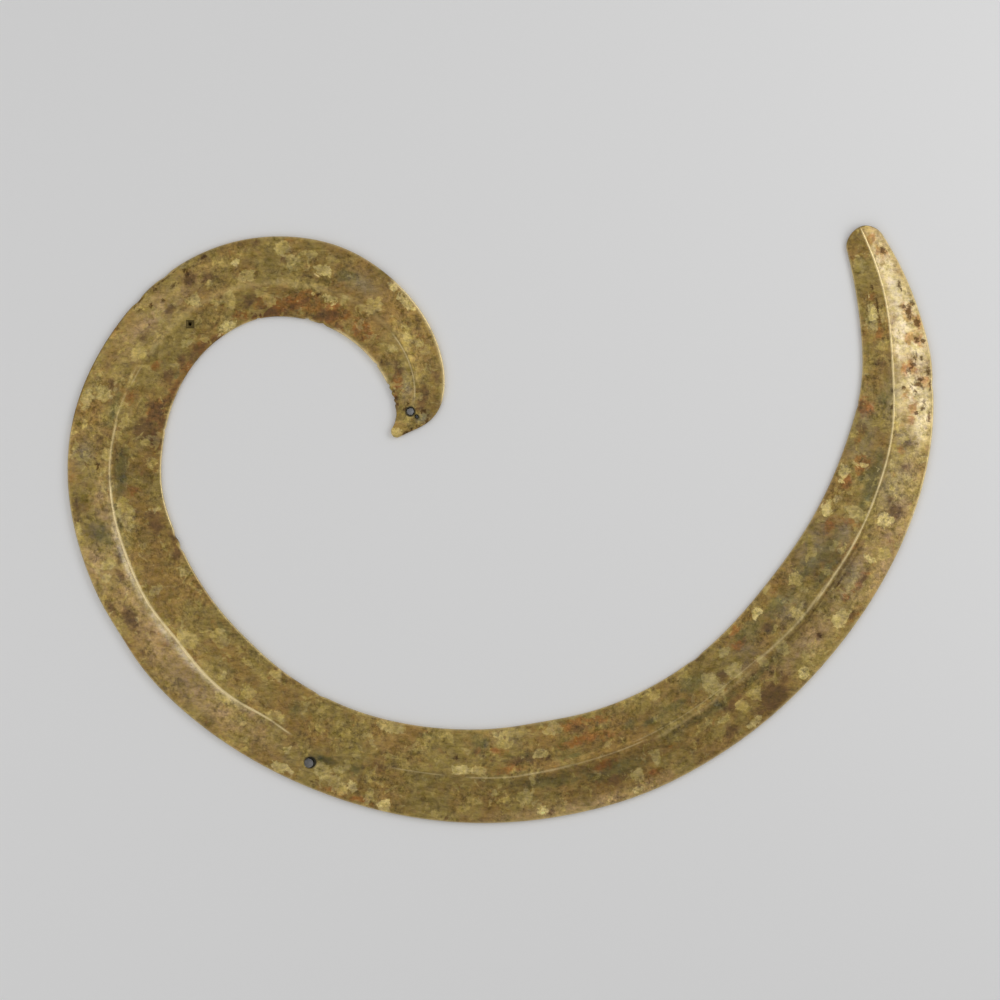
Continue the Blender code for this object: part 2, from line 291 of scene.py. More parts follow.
RUST_STAINS = (
    (53, -9.6, 2.2, 0.8), (62, -7, 6, 3.2), (70, -6.5, 5, 3), (76, -7.5, 3, 2), (82, -9.5, 5, 1.4),
    (90, -8.5, 3, 1.2), (104, -11.8, 2.6, 0.9), (112, -11.8, 4, 1.1), (120, -12, 4, 1),
    (132, -12.8, 7, 1.1), (140, -13, 6, 1.2), (127, -3.8, 2, 0.8), (139.5, -1.6, 2, 0.6),
    (147, -13.8, 6, 0.9), (170.5, -7.4, 1.6, 1.8), (44, -6, 5, 2.4), (55, -5, 4, 2.4),
    (66, -4, 4, 2), (79, -6.6, 6, 2.6), (337, -1.8, 7, 1), (340, -2.4, 2.4, 0.8),
    (334, -7.6, 4, 0.8), (360, -6.5, 3, 1.4), (366, -7.4, 4, 2), (372, -6, 3, 1.4),
    (367, 2.6, 4, 1.2), (381, 10.5, 1.6, 1), (389, 5.4, 1.6, 1), (424, -8, 2, 1),
    (426, -11.6, 2, 0.8), (447, -11.5, 2, 1), (474, -9.5, 3, 1.6), (478.5, -4, 0.8, 2.4),
    (457.5, 7, 1.6, 1.4), (455.2, 12, 1.8, 0.8), (491, -10, 3, 1.4), (498, -7.5, 3.2, 3.2),
    (506, -9.6, 2, 1.2), (517, -8.5, 3.4, 2), (517, -10.4, 3, 1), (542, -4, 2, 1),
    (553.5, -4.2, 1.6, 0.8), (505.5, 3.6, 1, 0.8), (518.5, 5.2, 2.4, 0.7), (530, 3.6, 2.5, 1.2),
    (539, 5.4, 1.6, 1.8), (548.5, 5, 1.8, 1), (566, 3, 3, 1.6), (571, 1.5, 2, 2),
    (361, -12.6, 7, 1.4), (370, -11.5, 5, 1.6), (546.6, 6.6, 3.4, 1.8), (538.2, 8.2, 2.4, 2.2),
    (530.5, 5.6, 2.6, 2), (525.6, 9, 2.2, 2.4), (517.5, 6, 3, 1.4), (543.5, 8.4, 2.4, 1.4),
    (522, 3.6, 2, 1), (286, 12, 3, 1), (296, 12.4, 3, 1), (13.5, -6.4, 3, 0.8), (20, -5.5, 3, 1.6),
    (466, 8, 3, 1), (150, -13, 4, 1.4), (57, -8, 4, 2.4), (78, -8.6, 6, 2), (113, -10.8, 4, 1.4),
    (141, -10.5, 5, 2.4),
)
GREEN_STAINS = (
    (57, 6, 4, 2.4), (8.8, 3.4, 1.7, 1.4), (163, -3.6, 9, 2.4), (169.5, -3, 2.8, 2.8),
    (182.5, 4, 3, 1.6), (125, -11, 2, 1), (145, 1.6, 6, 1.2), (229, -14, 4, 1), (266.5, -7.5, 2, 3),
    (282.6, 3.7, 4, 1.3), (291, 3.3, 2, 1.6), (311, -11.5, 3, 1), (329, -10.5, 4, 3),
    (345, -5, 6, 1.6), (350, 3.5, 12, 2.4), (372, 5, 10, 3), (405, 3, 12, 1.8), (425, 3, 8, 1.4),
    (380, -6.5, 3, 1.4), (388, -4.4, 5, 1), (360, -3, 6, 0.8), (397, -5, 7, 1.4),
    (435.5, -5.5, 2.4, 2), (430, -9, 8, 3), (443, -8, 8, 3), (458, -8, 10, 3), (462, -3, 8, 1.8),
    (490, -2.6, 8, 1.8), (500, -2.4, 4, 1.2), (521, -4, 2, 2), (180, -1.6, 8, 1.2),
    (182.5, 5, 3, 2), (9.4, 4.2, 1.8, 1.8), (495, -2.4, 9, 2.6), (466, -6, 8, 3), (405, -7, 5, 3),
    (184, 3.2, 4, 1.4), (496, -5, 5, 2.4), (281, 3, 3.4, 0.9),
)
TAN_ZONES = (
    (205, 2.5, 32, 2.6), (235, 6, 30, 4), (180, 3, 12, 2), (190, 9, 8, 3), (440, 7, 12, 3.5),
    (463, 6, 14, 4), (485, 9, 12, 3.4), (115, 6, 14, 4), (362, 13, 26, 1.6), (228, 1.2, 26, 2.2),
    (190, 0.8, 14, 1.6), (474, 11.5, 12, 2),
)
# Cream on the tail's outer flange, partly the patina's pale colour and partly painted sheen where
# the light falls on that flank, and painted highlight just outside the crest near 192 and 224 mm
CREAM_AND_SHEEN_ZONES = (
    (522, 7.8, 12, 3.6), (546, 3.5, 15, 3.4), (560, 3, 12, 2.8), (539, 2, 9, 2), (514, 8.5, 6, 2.8),
    (524, 6, 8, 4), (224, 0.6, 24, 0.9), (192, 0.5, 14, 0.8), (535, 7.6, 8, 3.2), (547, 6, 7, 2.8),
    (517, 10, 6, 2),
)
# Where a grey bloom dulls the yellow of the patina
HAZE_ZONES = (
    (9.4, 4.3, 1.8, 1.6), (495, 4, 10, 5), (423, -4, 6, 4), (445, -4, 6, 4), (508, -9, 12, 4),
    (465, -11, 10, 4), (521, 0, 9, 3), (464, 4, 6, 4), (340, -12, 5, 3), (18, -3, 5, 2),
    (183, 6, 4, 3), (160, 8, 5, 3), (506, 3, 7, 3), (52, 6, 5, 3), (475, -4, 5, 3),
)
DARK_SPECKS = (
    (9.9, -1.9, 1.1, 0.7), (11.4, -1.7, 0.6, 0.5), (10.7, 3.8, 0.5, 1.3), (9.4, 5.6, 1.2, 0.5),
    (3.4, 1.9, 0.8, 0.35), (4.6, 2.6, 0.8, 0.35), (5.8, 3.4, 0.8, 0.35), (7, 4.3, 0.8, 0.35),
    (7.3, 1.8, 0.5, 0.4), (105.5, 9.4, 0.9, 0.5), (110.3, 7.7, 0.6, 0.5), (113.6, 9.2, 0.7, 0.7),
    (116.2, 10.4, 0.6, 0.5), (110, 11.8, 1.2, 0.4), (101, 10.2, 0.7, 1.2), (118, 5.5, 0.5, 0.4),
    (95.5, 12.2, 0.7, 0.5), (107, 12.6, 2.4, 0.4), (115, 12.8, 2, 0.4), (162.3, 3.6, 0.8, 0.4),
    (21.3, -0.5, 0.5, 0.4), (57.4, -2.6, 0.5, 0.4), (63, -2.6, 0.7, 0.5), (524, 3, 0.5, 0.6),
    (525.3, 7.4, 0.8, 1.6), (526.6, 8, 0.5, 1.1), (523, 6.5, 0.7, 0.5), (524.5, 5.2, 0.7, 0.4),
    (529.5, 4.6, 1.1, 0.7), (531, 5.8, 0.9, 0.8), (533.5, 6.7, 1.1, 0.5), (533, 8.6, 0.6, 0.4),
    (529, 10.6, 1.4, 0.5), (525, 11.2, 1.8, 0.4), (524, 8.9, 0.5, 0.5), (516.6, 7.4, 0.6, 0.9),
    (518, 9, 0.6, 0.5), (520, 9.3, 0.6, 0.4), (515.2, 11, 1, 0.5), (538.5, 7.6, 0.9, 0.8),
    (538, 9.4, 0.7, 0.8), (543.5, 8.4, 1.3, 0.8), (546.6, 6.4, 2.2, 0.8), (549, 8, 0.9, 0.7),
    (548.5, 5, 0.9, 0.6), (554.5, 5.2, 1.3, 0.4), (566.5, 3.6, 1.1, 1), (561, 5.6, 0.5, 0.4),
    (518.5, -0.6, 0.8, 0.5), (523.2, -0.5, 0.6, 0.5), (321.8, -5.6, 0.8, 0.7),
    (461, 2.4, 2.4, 0.35), (549.5, -3.2, 5.5, 0.3), (444.5, 7.7, 0.8, 0.7), (84.5, -9.9, 0.8, 0.5),
    (13, -6, 1, 0.5), (16, -6.9, 0.8, 0.4), (10.6, -4.9, 0.7, 0.4),
)
# Broad light places, or dark ones where the gain is under nought, given as stains are, with the
# gain as a share of the patina's lightness: partly the patina's own tone, partly painted light and
# shade, such as a lighter band on the crest's inner side and painted shade on its outer side
PAINTED_LIGHT_AND_TONE = (
    (167, -13, 6, 6, -0.3), (163, -3, 6, 3.6, -0.28), (178, -9, 3, 3, -0.22),
    (187, -7, 4, 3, -0.18), (160, 8, 5, 3.5, -0.2), (176, 9.5, 5, 3.2, -0.28),
    (234, 8, 8, 5, -0.22), (224, 12, 6, 3, -0.14), (404, -7.5, 5, 3.5, -0.22),
    (392, -5, 5, 3, -0.18), (424, -3, 5, 3, -0.12), (441, 0, 7, 3, -0.14), (459, -3, 6, 4, -0.24),
    (468, -4, 5, 3, -0.2), (464, 2.6, 8, 2, -0.16), (497, -2, 7, 4, -0.16),
    (526, -1.6, 5, 2.6, -0.2), (508, 7, 3, 3, -0.12), (20, -7, 6, 4, -0.16), (24, 5, 5, 4, -0.16),
    (152, -3, 5, 4, -0.1), (103, 5, 3, 4, -0.12), (366, 6, 9, 5, -0.12), (350, 2, 38, 1.6, -0.16),
    (420, 2.4, 36, 1.2, -0.18), (100, -9, 5, 5, 0.34), (148, -7.5, 3, 2.4, 0.14),
    (186, -2.2, 9, 1.8, -0.14), (206, -2, 10, 1.8, -0.22), (222, -1.8, 10, 1.4, -0.14),
    (246, -2, 8, 1.8, -0.12), (284, 8, 6, 4, 0.16), (294, -12, 7, 3, 0.1), (303, 12.6, 4, 2, 0.14),
    (346, 13, 10, 2.2, 0.24), (368, 13.5, 14, 1.8, 0.2), (408, 11, 9, 4, 0.12),
    (442, 12, 16, 3.6, 0.3), (470, 11.5, 8, 3.2, 0.24), (488, 12, 8, 2.4, 0.16),
    (513, 11, 5, 2, 0.34), (542, 8, 6, 3, 0.16), (566, 5, 7, 3, 0.12), (480, -13, 5, 2, 0.16),
    (63, 4, 6, 3, 0.1), (352, -1.6, 34, 1.2, 0.16), (412, -0.2, 30, 1, 0.1), (80, 0, 22, 1.2, 0.08),
    (9, 0, 9, 6, 0.1), (340, -8, 9, 4, 0.05), (138, -12, 5, 2.4, 0.14), (1.5, 0, 3, 3, 0.22),
    (112, -1, 16, 2.4, 0.1), (291, 3, 3, 5, -0.15), (470, -13.5, 5, 2, -0.18),
    (423, 12.4, 4.5, 3.8, -0.3), (78, -9.4, 5, 1.8, -0.16), (58, -8.6, 3, 1.6, -0.12),
    (151, -12.6, 4, 3, -0.28), (32, 4.4, 5, 4, -0.14), (413, -8, 4, 3, -0.18),
    (497, -3, 6, 3, -0.12), (182, 7, 3.4, 3, -0.16), (208.5, 7.6, 3.4, 2.2, -0.14),
    (487.8, 7.2, 2.2, 3, -0.16), (197, -14, 5, 3, -0.14), (528, 1.4, 5, 2.4, -0.14),
    (149, 8, 5, 4, 0.1), (197, 0.8, 2.6, 2, 0.14), (282.6, 3.5, 3.6, 1.2, -0.5),
    (9.3, 4.1, 1.2, 1.2, 0.12), (182.5, 6, 3.4, 3.2, -0.2), (172, 9.2, 5, 2, -0.18),
    (190, 0.6, 3.4, 1.6, -0.16), (231, 5, 5, 4, -0.14), (170, -3.5, 4, 3, -0.14),
    (188, -8, 4, 3, -0.12), (517, 10, 4, 2.4, 0.16), (422, 12, 4, 3.4, 0.06),
    (110.5, -9.4, 7, 3, 0.08), (200, -5, 60, 5, -0.08), (168, -2.5, 24, 3, -0.06),
    (168, 6, 20, 3, -0.1), (216, 6, 20, 3, -0.08), (360, -3, 24, 3, -0.1),
    (360, 13.5, 24, 1.6, 0.14), (330, -13, 30, 1.6, 0.1), (24, -6, 20, 4, -0.06),
    (84, 0, 44, 1.3, 0.1), (360, -1.8, 14, 2.4, 0.26), (410, 3.2, 12, 2.4, 0.16),
    (410, 0.9, 14, 0.8, 0.1), (550, 3.2, 12, 2.2, -0.12), (386, -6.5, 6, 3, -0.12),
    (183, 8, 4, 2.4, -0.18), (352, 6, 6, 3, 0.1), (297, -8, 8, 4, 0.1), (130, -10, 8, 3, 0.08),
    (520, 1, 5, 3, 0.1), (477, -3, 5, 3, 0.12), (420, -6, 6, 4, -0.14), (506, 4, 5, 3, -0.18),
    (522, 5, 6, 4, 0.12), (22, 6, 5, 3, -0.1), (169, 9, 4, 3, -0.12), (9, 0, 6, 4, 0.08),
    (517, -8, 4, 3, 0.14), (498, -8, 4, 3, 0.08), (202, 4, 4, 3, -0.08),
)

# Lines worn bright, in part painted highlight where the crest and rims catch the light, or lines of
# painted shadow where the strength is under nought, in millimetres: from, to, where (1 the outer
# rim, -1 the inner rim, or else the distance outside the crest), half width and strength
WEAR_AND_PAINTED_LIGHT_LINES = table(
    "WearOrPaintedLightLine",
    "start end place width strength",
    (18, 55, -1, 0.65, 0.85), (12, 48, 1, 0.6, 1.05), (48, 112, 1, 0.35, 0.45),
    (60, 68, -1, 0.45, 0.9), (68, 75, -1, 0.3, 0.5), (84, 100, -1, 0.4, 0.5),
    (124, 134, -1, 0.35, 0.5), (132, 192, -1, 0.42, 0.95), (192, 262, -1, 0.35, 0.65),
    (262, 480, -1, 0.35, 0.42), (474, 520, -1, 0.35, 0.3), (516, 576, -1, 0.35, 0.5),
    (150, 330, 1, 0.35, 0.45), (326, 486, 1, 0.45, 0.52), (478, 530, 1, 0.42, 1.1),
    (522, 577, 1, 0.42, 0.75), (10, 16, -0.3, 0.6, 0.4), (11, 37, 0, 0.2, 0.65),
    (36, 128, 0.4, 0.8, 0.12), (13, 27, 1, 0.2, 0.3), (127, 138, 0.2, 0.2, 0.35),
    (129, 137, 1.4, 0.25, 0.3), (136, 152, 0.5, 0.2, 0.25), (147, 172, 0.15, 0.35, 0.55),
    (166, 262, 0.05, 0.27, 1.4), (176, 193, 0.3, 0.4, 0.4), (198, 212, 0.4, 0.45, 0.4),
    (208, 226, 0.4, 0.45, 0.4), (222, 240, 0.3, 0.4, 0.55), (238, 253, 0.4, 0.4, 0.35),
    (256, 270, 0, 0.25, 0.85), (300, 320, 0.2, 0.15, 0.4), (324, 346, 0.2, 0.18, 0.45),
    (340, 360, 0, 0.3, 0.5), (356, 384, 0, 0.18, 0.38), (378, 430, -0.9, 0.14, 0.28),
    (384, 424, 0.9, 0.5, 0.16), (424, 460, -0.4, 0.36, 0.45), (450, 480, 0, 0.3, 0.8),
    (470, 577, 0.05, 0.22, 1.1), (326, 346, 1, 0.3, -0.45), (434, 480, 1.1, 0.35, -0.5),
    (462, 476, 2.6, 0.3, -0.5), (150, 172, -1.2, 0.4, -0.3), (484, 515, 0.8, 0.25, -0.25),
)


def natural_spline(knots, values):
    """Return a function that gives the smooth curve through the values, and its slope."""
    knots = np.asarray(knots, float)
    values = np.asarray(values, float)
    gaps = np.diff(knots)
    count = len(knots)
    system = np.eye(count)
    right = np.zeros(count)
    for k in range(1, count - 1):
        system[k, k - 1 : k + 2] = gaps[k - 1], 2 * (gaps[k - 1] + gaps[k]), gaps[k]
        rise = (values[k + 1] - values[k]) / gaps[k]
        right[k] = 6 * (rise - (values[k] - values[k - 1]) / gaps[k - 1])
    bend = np.linalg.solve(system, right)

    def at(x):
        k = np.clip(np.searchsorted(knots, x) - 1, 0, count - 2)
        gap = gaps[k]
        left = (knots[k + 1] - x) / gap
        near = 1 - left
        value = left * values[k] + near * values[k + 1]
        value += ((left**3 - left) * bend[k] + (near**3 - near) * bend[k + 1]) * gap**2 / 6
        slope = (values[k + 1] - values[k]) / gap
        slope += ((3 * near**2 - 1) * bend[k + 1] - (3 * left**2 - 1) * bend[k]) * gap / 6
        return value, slope

    return at


TURNS = [math.radians(station.turn) for station in STATIONS]
ridge_share = natural_spline(TURNS, [station.ridge for station in STATIONS])
inner_share = natural_spline(TURNS, [station.inner for station in STATIONS])
outer_share = natural_spline(TURNS, [station.outer for station in STATIONS])


def ease(share):
    share = np.clip(share, 0, 1)
    return share * share * (3 - 2 * share)


class Ridge:
    """The ridge line in plan, sampled finely, and what the band is at each place along it."""

    def __init__(self, reach, width):
        self.reach = reach
        self.width = width
        self.turns = np.linspace(TURNS[0], TURNS[-1], RIDGE_SAMPLES)
        self.hub = np.zeros(2)
        places = [sway.along * MM for sway in SWAYS]
        self.strayed = natural_spline(places, [sway.out * MM for sway in SWAYS])
        self.points, self.outwards = self.at_turn(self.turns)
        steps = np.linalg.norm(np.diff(self.points, axis=0), axis=1)
        self.travel = np.concatenate([[0.0], np.cumsum(steps)])
        self.total = self.travel[-1]
        self.centre()

    def at_turn(self, turn):
        share, slope = ridge_share(turn)
        radial = np.stack([np.cos(turn), np.sin(turn)], -1)
        along = np.stack([-np.sin(turn), np.cos(turn)], -1)
        tangent = slope[..., None] * radial + share[..., None] * along
        tangent /= np.linalg.norm(tangent, axis=-1, keepdims=True)
        outward = np.stack([tangent[..., 1], -tangent[..., 0]], -1)
        return self.hub + self.reach * share[..., None] * radial, outward

    def flanges(self, turn):
        return self.width * inner_share(turn)[0], self.width * outer_share(turn)[0]

    def trim(self, travel):
        """How much of the flange widths is left where an end is rounded off."""
        beak = np.clip(travel / BEAK_ROUND, 0, 1)
        tail = np.clip((self.total - travel) / TAIL_ROUND, 0, 1)
        return np.sqrt(1 - (1 - beak) ** 2) * np.sqrt(1 - (1 - tail) ** 2)

    def sway(self, travel):
        """How far outside the ridge line the crest strays."""
        return self.strayed(travel)[0] * ease((travel - BEAK_FLAT) / BEAK_SLOPE)

    def centre(self):
        """Put the hub where the band's box has its middle over the frame's middle."""
        inner, outer = self.flanges(self.turns)
        trim = self.trim(self.travel)
        inside = self.points - (inner * trim)[:, None] * self.outwards
        outside = self.points + (outer * trim)[:, None] * self.outwards
        both = np.concatenate([inside, outside])
        self.hub = np.array(MIDDLE[:2]) - (both.min(axis=0) + both.max(axis=0)) / 2
        self.points = self.points + self.hub

    def turn_at(self, travel):
        return np.interp(travel, self.travel, self.turns)

    def place_of(self, xy):
        """How far along the ridge each plan point is, and how far outside it, in metres."""
        tree = KDTree(len(self.points))
        for k, point in enumerate(self.points):
            tree.insert((*point, 0.0), k)
        tree.balance()
        nearest = np.array([tree.find((x, y, 0.0))[1] for x, y in xy])
        gap = xy - self.points[nearest]
        outward = self.outwards[nearest]
        across = (gap * outward).sum(axis=1)
        ahead = gap[:, 1] * outward[:, 0] - gap[:, 0] * outward[:, 1]
        return self.travel[nearest] + ahead, across


def add_object(name, data):
    made = bpy.data.objects.new(name, data)
    bpy.context.scene.collection.objects.link(made)
    return made


def row_travels(total, step):
    """Where the rows stand along the ridge: close together only where an end is rounded off."""
    angles = np.linspace(0, math.pi / 2, END_ROWS)
    beak = BEAK_ROUND * (1 - np.cos(angles))
    tail = total - TAIL_ROUND * (1 - np.cos(angles))
    count = round((tail[-1] - beak[-1]) / step)
    body = np.linspace(beak[-1], tail[-1], count + 1)
    return np.concatenate([beak, body[1:], tail[-2::-1]])


def ridge_guide(ridge, rise, step):
    """A string of points along the ridge that carries what the band is at each one."""
    travel = row_travels(ridge.total, step)
    turn = ridge.turn_at(travel)
    points, outwards = ridge.at_turn(turn)
    inner, outer = ridge.flanges(turn)
    along = np.array([crest.along for crest in CRESTS]) * MM
    kept = np.interp(travel, along, [crest.kept for crest in CRESTS])
    fade = ease((travel - BEAK_FLAT) / BEAK_SLOPE)
    values = {
        "sway": ridge.sway(travel),
        "inner": inner,
        "outer": outer,
        "trim": ridge.trim(travel),
        "crest": rise * (inner + outer) / ridge.width * fade * kept,
        "end_gap": np.minimum(travel, ridge.total - travel),
        "crest_flat": np.interp(travel, along, [crest.flat * MM / 2 for crest in CRESTS]),
        "crest_soft": np.interp(travel, along, [crest.soft * MM for crest in CRESTS]),
    }
    count = len(travel)
    mesh = bpy.data.meshes.new("ridge_guide")
    places = [(x, y, 0.0) for x, y in points]
    mesh.from_pydata(places, [(k, k + 1) for k in range(count - 1)], [])
    for name, value in values.items():
        mesh.attributes.new(name, "FLOAT", "POINT").data.foreach_set("value", value)
    arrows = np.column_stack([outwards, np.zeros(count)]).ravel()
    mesh.attributes.new("outward", "FLOAT_VECTOR", "POINT").data.foreach_set("vector", arrows)
    return add_object("ridge_guide", mesh)


class Wire:
    """A node's output, to reckon with as with a plain number: each step adds a math node."""

    def __init__(self, socket):
        self.socket = socket

    def __add__(self, other):
        return calc("ADD", self, other)

    def __sub__(self, other):
        return calc("SUBTRACT", self, other)

    def __rsub__(self, other):
        return calc("SUBTRACT", other, self)

    def __mul__(self, other):
        return calc("MULTIPLY", self, other)

    def __truediv__(self, other):
        return calc("DIVIDE", self, other)

    def __rtruediv__(self, other):
        return calc("DIVIDE", other, self)

    def __pow__(self, other):
        return calc("POWER", self, other)

    def plug(self, socket):
        """Link the output to a node's input."""
        self.socket.id_data.links.new(self.socket, socket)


def put(tree, kind, inputs=None, output=0, **settings):
    """Add a node, set its options, link or set its inputs, and return one of its outputs."""
    node = tree.nodes.new(kind)
    for name, value in settings.items():
        setattr(node, name, value)
    for name, value in (inputs or {}).items():
        if isinstance(value, Wire):
            value.plug(node.inputs[name])
        else:
            node.inputs[name].default_value = value
    return Wire(node.outputs[output])


def calc(operation, *values, clamp=False):
    """A math node's result, in the tree that its first wire is in."""
    tree = next(value.socket.id_data for value in values if isinstance(value, Wire))
    inputs = dict(enumerate(values))
    return put(tree, "ShaderNodeMath", inputs, operation=operation, use_clamp=clamp)


def vector_calc(tree, operation, *values, **inputs):
    """A vector math node's result."""
    inputs.update(enumerate(values))
    return put(tree, "ShaderNodeVectorMath", inputs, operation=operation)


def new_tree(name, kind, inputs, output):
    """A node group with named sockets, its inputs by name, and the socket of its one output."""
    tree = bpy.data.node_groups.new(name, kind)
    for label, socket, default in inputs:
        made = tree.interface.new_socket(label, in_out="INPUT", socket_type=socket)
        if default is not None:
            made.default_value = default
    tree.interface.new_socket(output[0], in_out="OUTPUT", socket_type=output[1])
    entry = tree.nodes.new("NodeGroupInput")
    leave = tree.nodes.new("NodeGroupOutput")
    return tree, {socket.name: Wire(socket) for socket in entry.outputs}, leave.inputs[0]


SHEET_INPUTS = (
    ("Guide", "NodeSocketGeometry", None),
    ("Sheet", "NodeSocketFloat", SHEET),
    ("Rim Land", "NodeSocketFloat", RIM_LAND),
    ("Edge Round", "NodeSocketFloat", EDGE_ROUND),
)
FACE_INPUTS = (
    *SHEET_INPUTS,
    ("Side", "NodeSocketFloat", 1.0),
    ("Columns", "NodeSocketInt", TOP_COLUMNS),
    ("Crowding", "NodeSocketFloat", 0.7),
    ("Land Limit", "NodeSocketFloat", 0.25),
    ("Fold Share", "NodeSocketFloat", 0.22),
    ("Fold Power", "NodeSocketFloat", 4.0),
)
BAND_INPUTS = (
    *SHEET_INPUTS,
    ("Top Columns", "NodeSocketInt", TOP_COLUMNS),
    ("Under Columns", "NodeSocketInt", UNDER_COLUMNS),
    ("Hammer Depth", "NodeSocketFloat", HAMMER_DEPTH),
    ("Hammer Size", "NodeSocketFloat", HAMMER_SIZE),
    ("Hammer Fade", "NodeSocketFloat", 4.0),
    ("Seed", "NodeSocketFloat", 4.0),
    ("Material", "NodeSocketMaterial", None),
)


def sheet_face_tree():
    """One face of the sheet, as a grid whose rows follow the guide."""
    output = ("Face", "NodeSocketGeometry")
    tree, given, out = new_tree("sheet_face", "GeometryNodeTree", FACE_INPUTS, output)
    guide = given["Guide"]
    columns = given["Columns"]
    domain = {"Geometry": guide}
    rows = put(tree, "GeometryNodeAttributeDomainSize", domain, "Point Count", component="MESH")
    grid = put(tree, "GeometryNodeMeshGrid", {"Vertices X": rows, "Vertices Y": columns})
    index = put(tree, "GeometryNodeInputIndex")
    row = calc("FLOOR", (index + 0.5) / columns)
    column = index - row * columns
    place = calc("MULTIPLY_ADD", column / (columns - 1.0), -2.0, 1.0)
    side = calc("SIGN", place)
    even = calc("ABSOLUTE", place)
    crowded = calc("MULTIPLY_ADD", calc("COSINE", even * math.pi), -0.5, 0.5)
    share = even + (crowded - even) * given["Crowding"]

    def sampled(value, data_type):
        inputs = {"Geometry": guide, "Value": value, "Index": row}
        return put(tree, "GeometryNodeSampleIndex", inputs, "Value", data_type=data_type)

    def carried(name, data_type="FLOAT"):
        """What the guide carries at this row under a name."""
        kind = "GeometryNodeInputNamedAttribute"
        value = put(tree, kind, {"Name": name}, "Attribute", data_type=data_type)
        return sampled(value, data_type)

    inner = carried("inner")
    outside = calc("GREATER_THAN", place, 0.0)
    flange = calc("MULTIPLY_ADD", carried("outer") - inner, outside, inner)
    edge = flange * carried("trim")
    away = edge * share

    # The flanks climb from the level rim to the crest, sagging a little below a straight line
    land = calc("MINIMUM", given["Rim Land"], flange * given["Land Limit"])
    flat = carried("crest_flat")
    soft = carried("crest_soft")
    past = calc("MAXIMUM", away - flat, 0.0)
    past = calc("SQRT", past**2.0 + soft**2.0) - soft
    flank = flange - land - flat
    flank = calc("SQRT", calc("MULTIPLY_ADD", flank, flank, soft**2.0)) - soft
    climb = calc("SUBTRACT", 1.0, past / flank, clamp=True)
    fold = (climb ** given["Fold Power"] - climb) * given["Fold Share"]
    height = (climb + fold) * carried("crest")

    # The top and the underside close up to meet at the rim
    gap = calc("MINIMUM", edge - away, carried("end_gap"))
    turned = calc("DIVIDE", gap, given["Edge Round"], clamp=True)
    full = calc("SQRT", 1.0 - (1.0 - turned) ** 2.0)
    half = given["Sheet"] * 0.5
    height = height + half + full * half * given["Side"]

    middle = sampled(put(tree, "GeometryNodeInputPosition"), "FLOAT_VECTOR")
    stride = calc("MULTIPLY_ADD", carried("sway"), (1.0 - share) ** 2.0, away * side)
    outwards = vector_calc(tree, "SCALE", carried("outward", "FLOAT_VECTOR"), Scale=stride)
    plan = vector_calc(tree, "ADD", middle, outwards)
    lift = put(tree, "ShaderNodeCombineXYZ", {"Z": height})
    position = vector_calc(tree, "ADD", plan, lift)
    moved = put(tree, "GeometryNodeSetPosition", {"Geometry": grid, "Position": position})
    inputs = {"Geometry": moved, "Name": "climb", "Value": climb}
    stored = put(
        tree, "GeometryNodeStoreNamedAttribute", inputs, data_type="FLOAT", domain="POINT"
    )
    stored.plug(out)
    return tree


def hammered_band_tree():
    """The whole sheet: a top and an underside that meet in a rounded rim, hammered uneven."""
    output = ("Band", "NodeSocketGeometry")
    tree, given, out = new_tree("hammered_band", "GeometryNodeTree", BAND_INPUTS, output)
    face_tree = sheet_face_tree()

    def face(side, columns):
        inputs = {name: given[name] for name, _, _ in SHEET_INPUTS}
        inputs.update({"Side": side, "Columns": given[columns]})
        return put(tree, "GeometryNodeGroup", inputs, "Face", node_tree=face_tree)

    under = put(tree, "GeometryNodeFlipFaces", {"Mesh": face(-1.0, "Under Columns")})
    joined = tree.nodes.new("GeometryNodeJoinGeometry")
    under.plug(joined.inputs[0])
    face(1.0, "Top Columns").plug(joined.inputs[0])
    both = {"Geometry": Wire(joined.outputs[0]), "Distance": MERGE_DISTANCE}
    merged = put(tree, "GeometryNodeMergeByDistance", both)

    position = put(tree, "GeometryNodeInputPosition")
    x, y = (put(tree, "ShaderNodeSeparateXYZ", {0: position}, axis) for axis in (0, 1))
    plan = put(tree, "ShaderNodeCombineXYZ", {"X": x, "Y": y, "Z": given["Seed"]})
    scale = 1.0 / given["Hammer Size"]
    noise = {"Vector": plan, "Scale": scale, "Detail": 2.0, "Roughness": 0.4}
    blows = put(tree, "ShaderNodeTexNoise", noise)
    kind = "GeometryNodeInputNamedAttribute"
    climb = put(tree, kind, {"Name": "climb"}, "Attribute", data_type="FLOAT")
    reach = calc("MULTIPLY", climb, given["Hammer Fade"], clamp=True)
    push = calc("MULTIPLY_ADD", blows, 2.0, -1.0) * reach * given["Hammer Depth"]
    offset = put(tree, "ShaderNodeCombineXYZ", {"Z": push})
    beaten = put(tree, "GeometryNodeSetPosition", {"Geometry": merged, "Offset": offset})
    smooth = put(tree, "GeometryNodeSetShadeSmooth", {"Geometry": beaten})
    real = put(tree, "GeometryNodeRealizeInstances", {"Geometry": smooth})
    dressed = {"Geometry": real, "Material": given["Material"]}
    put(tree, "GeometryNodeSetMaterial", dressed).plug(out)
    return tree


def modifier_input(modifier, name):
    """The identifier of a geometry nodes modifier's named input."""
    for item in modifier.node_group.interface.items_tree:
        if item.item_type == "SOCKET" and item.in_out == "INPUT" and item.name == name:
            return item.identifier
    raise KeyError(name)


def evaluated_mesh(piece):
    graph = bpy.context.evaluated_depsgraph_get()
    return bpy.data.meshes.new_from_object(piece.evaluated_get(graph))


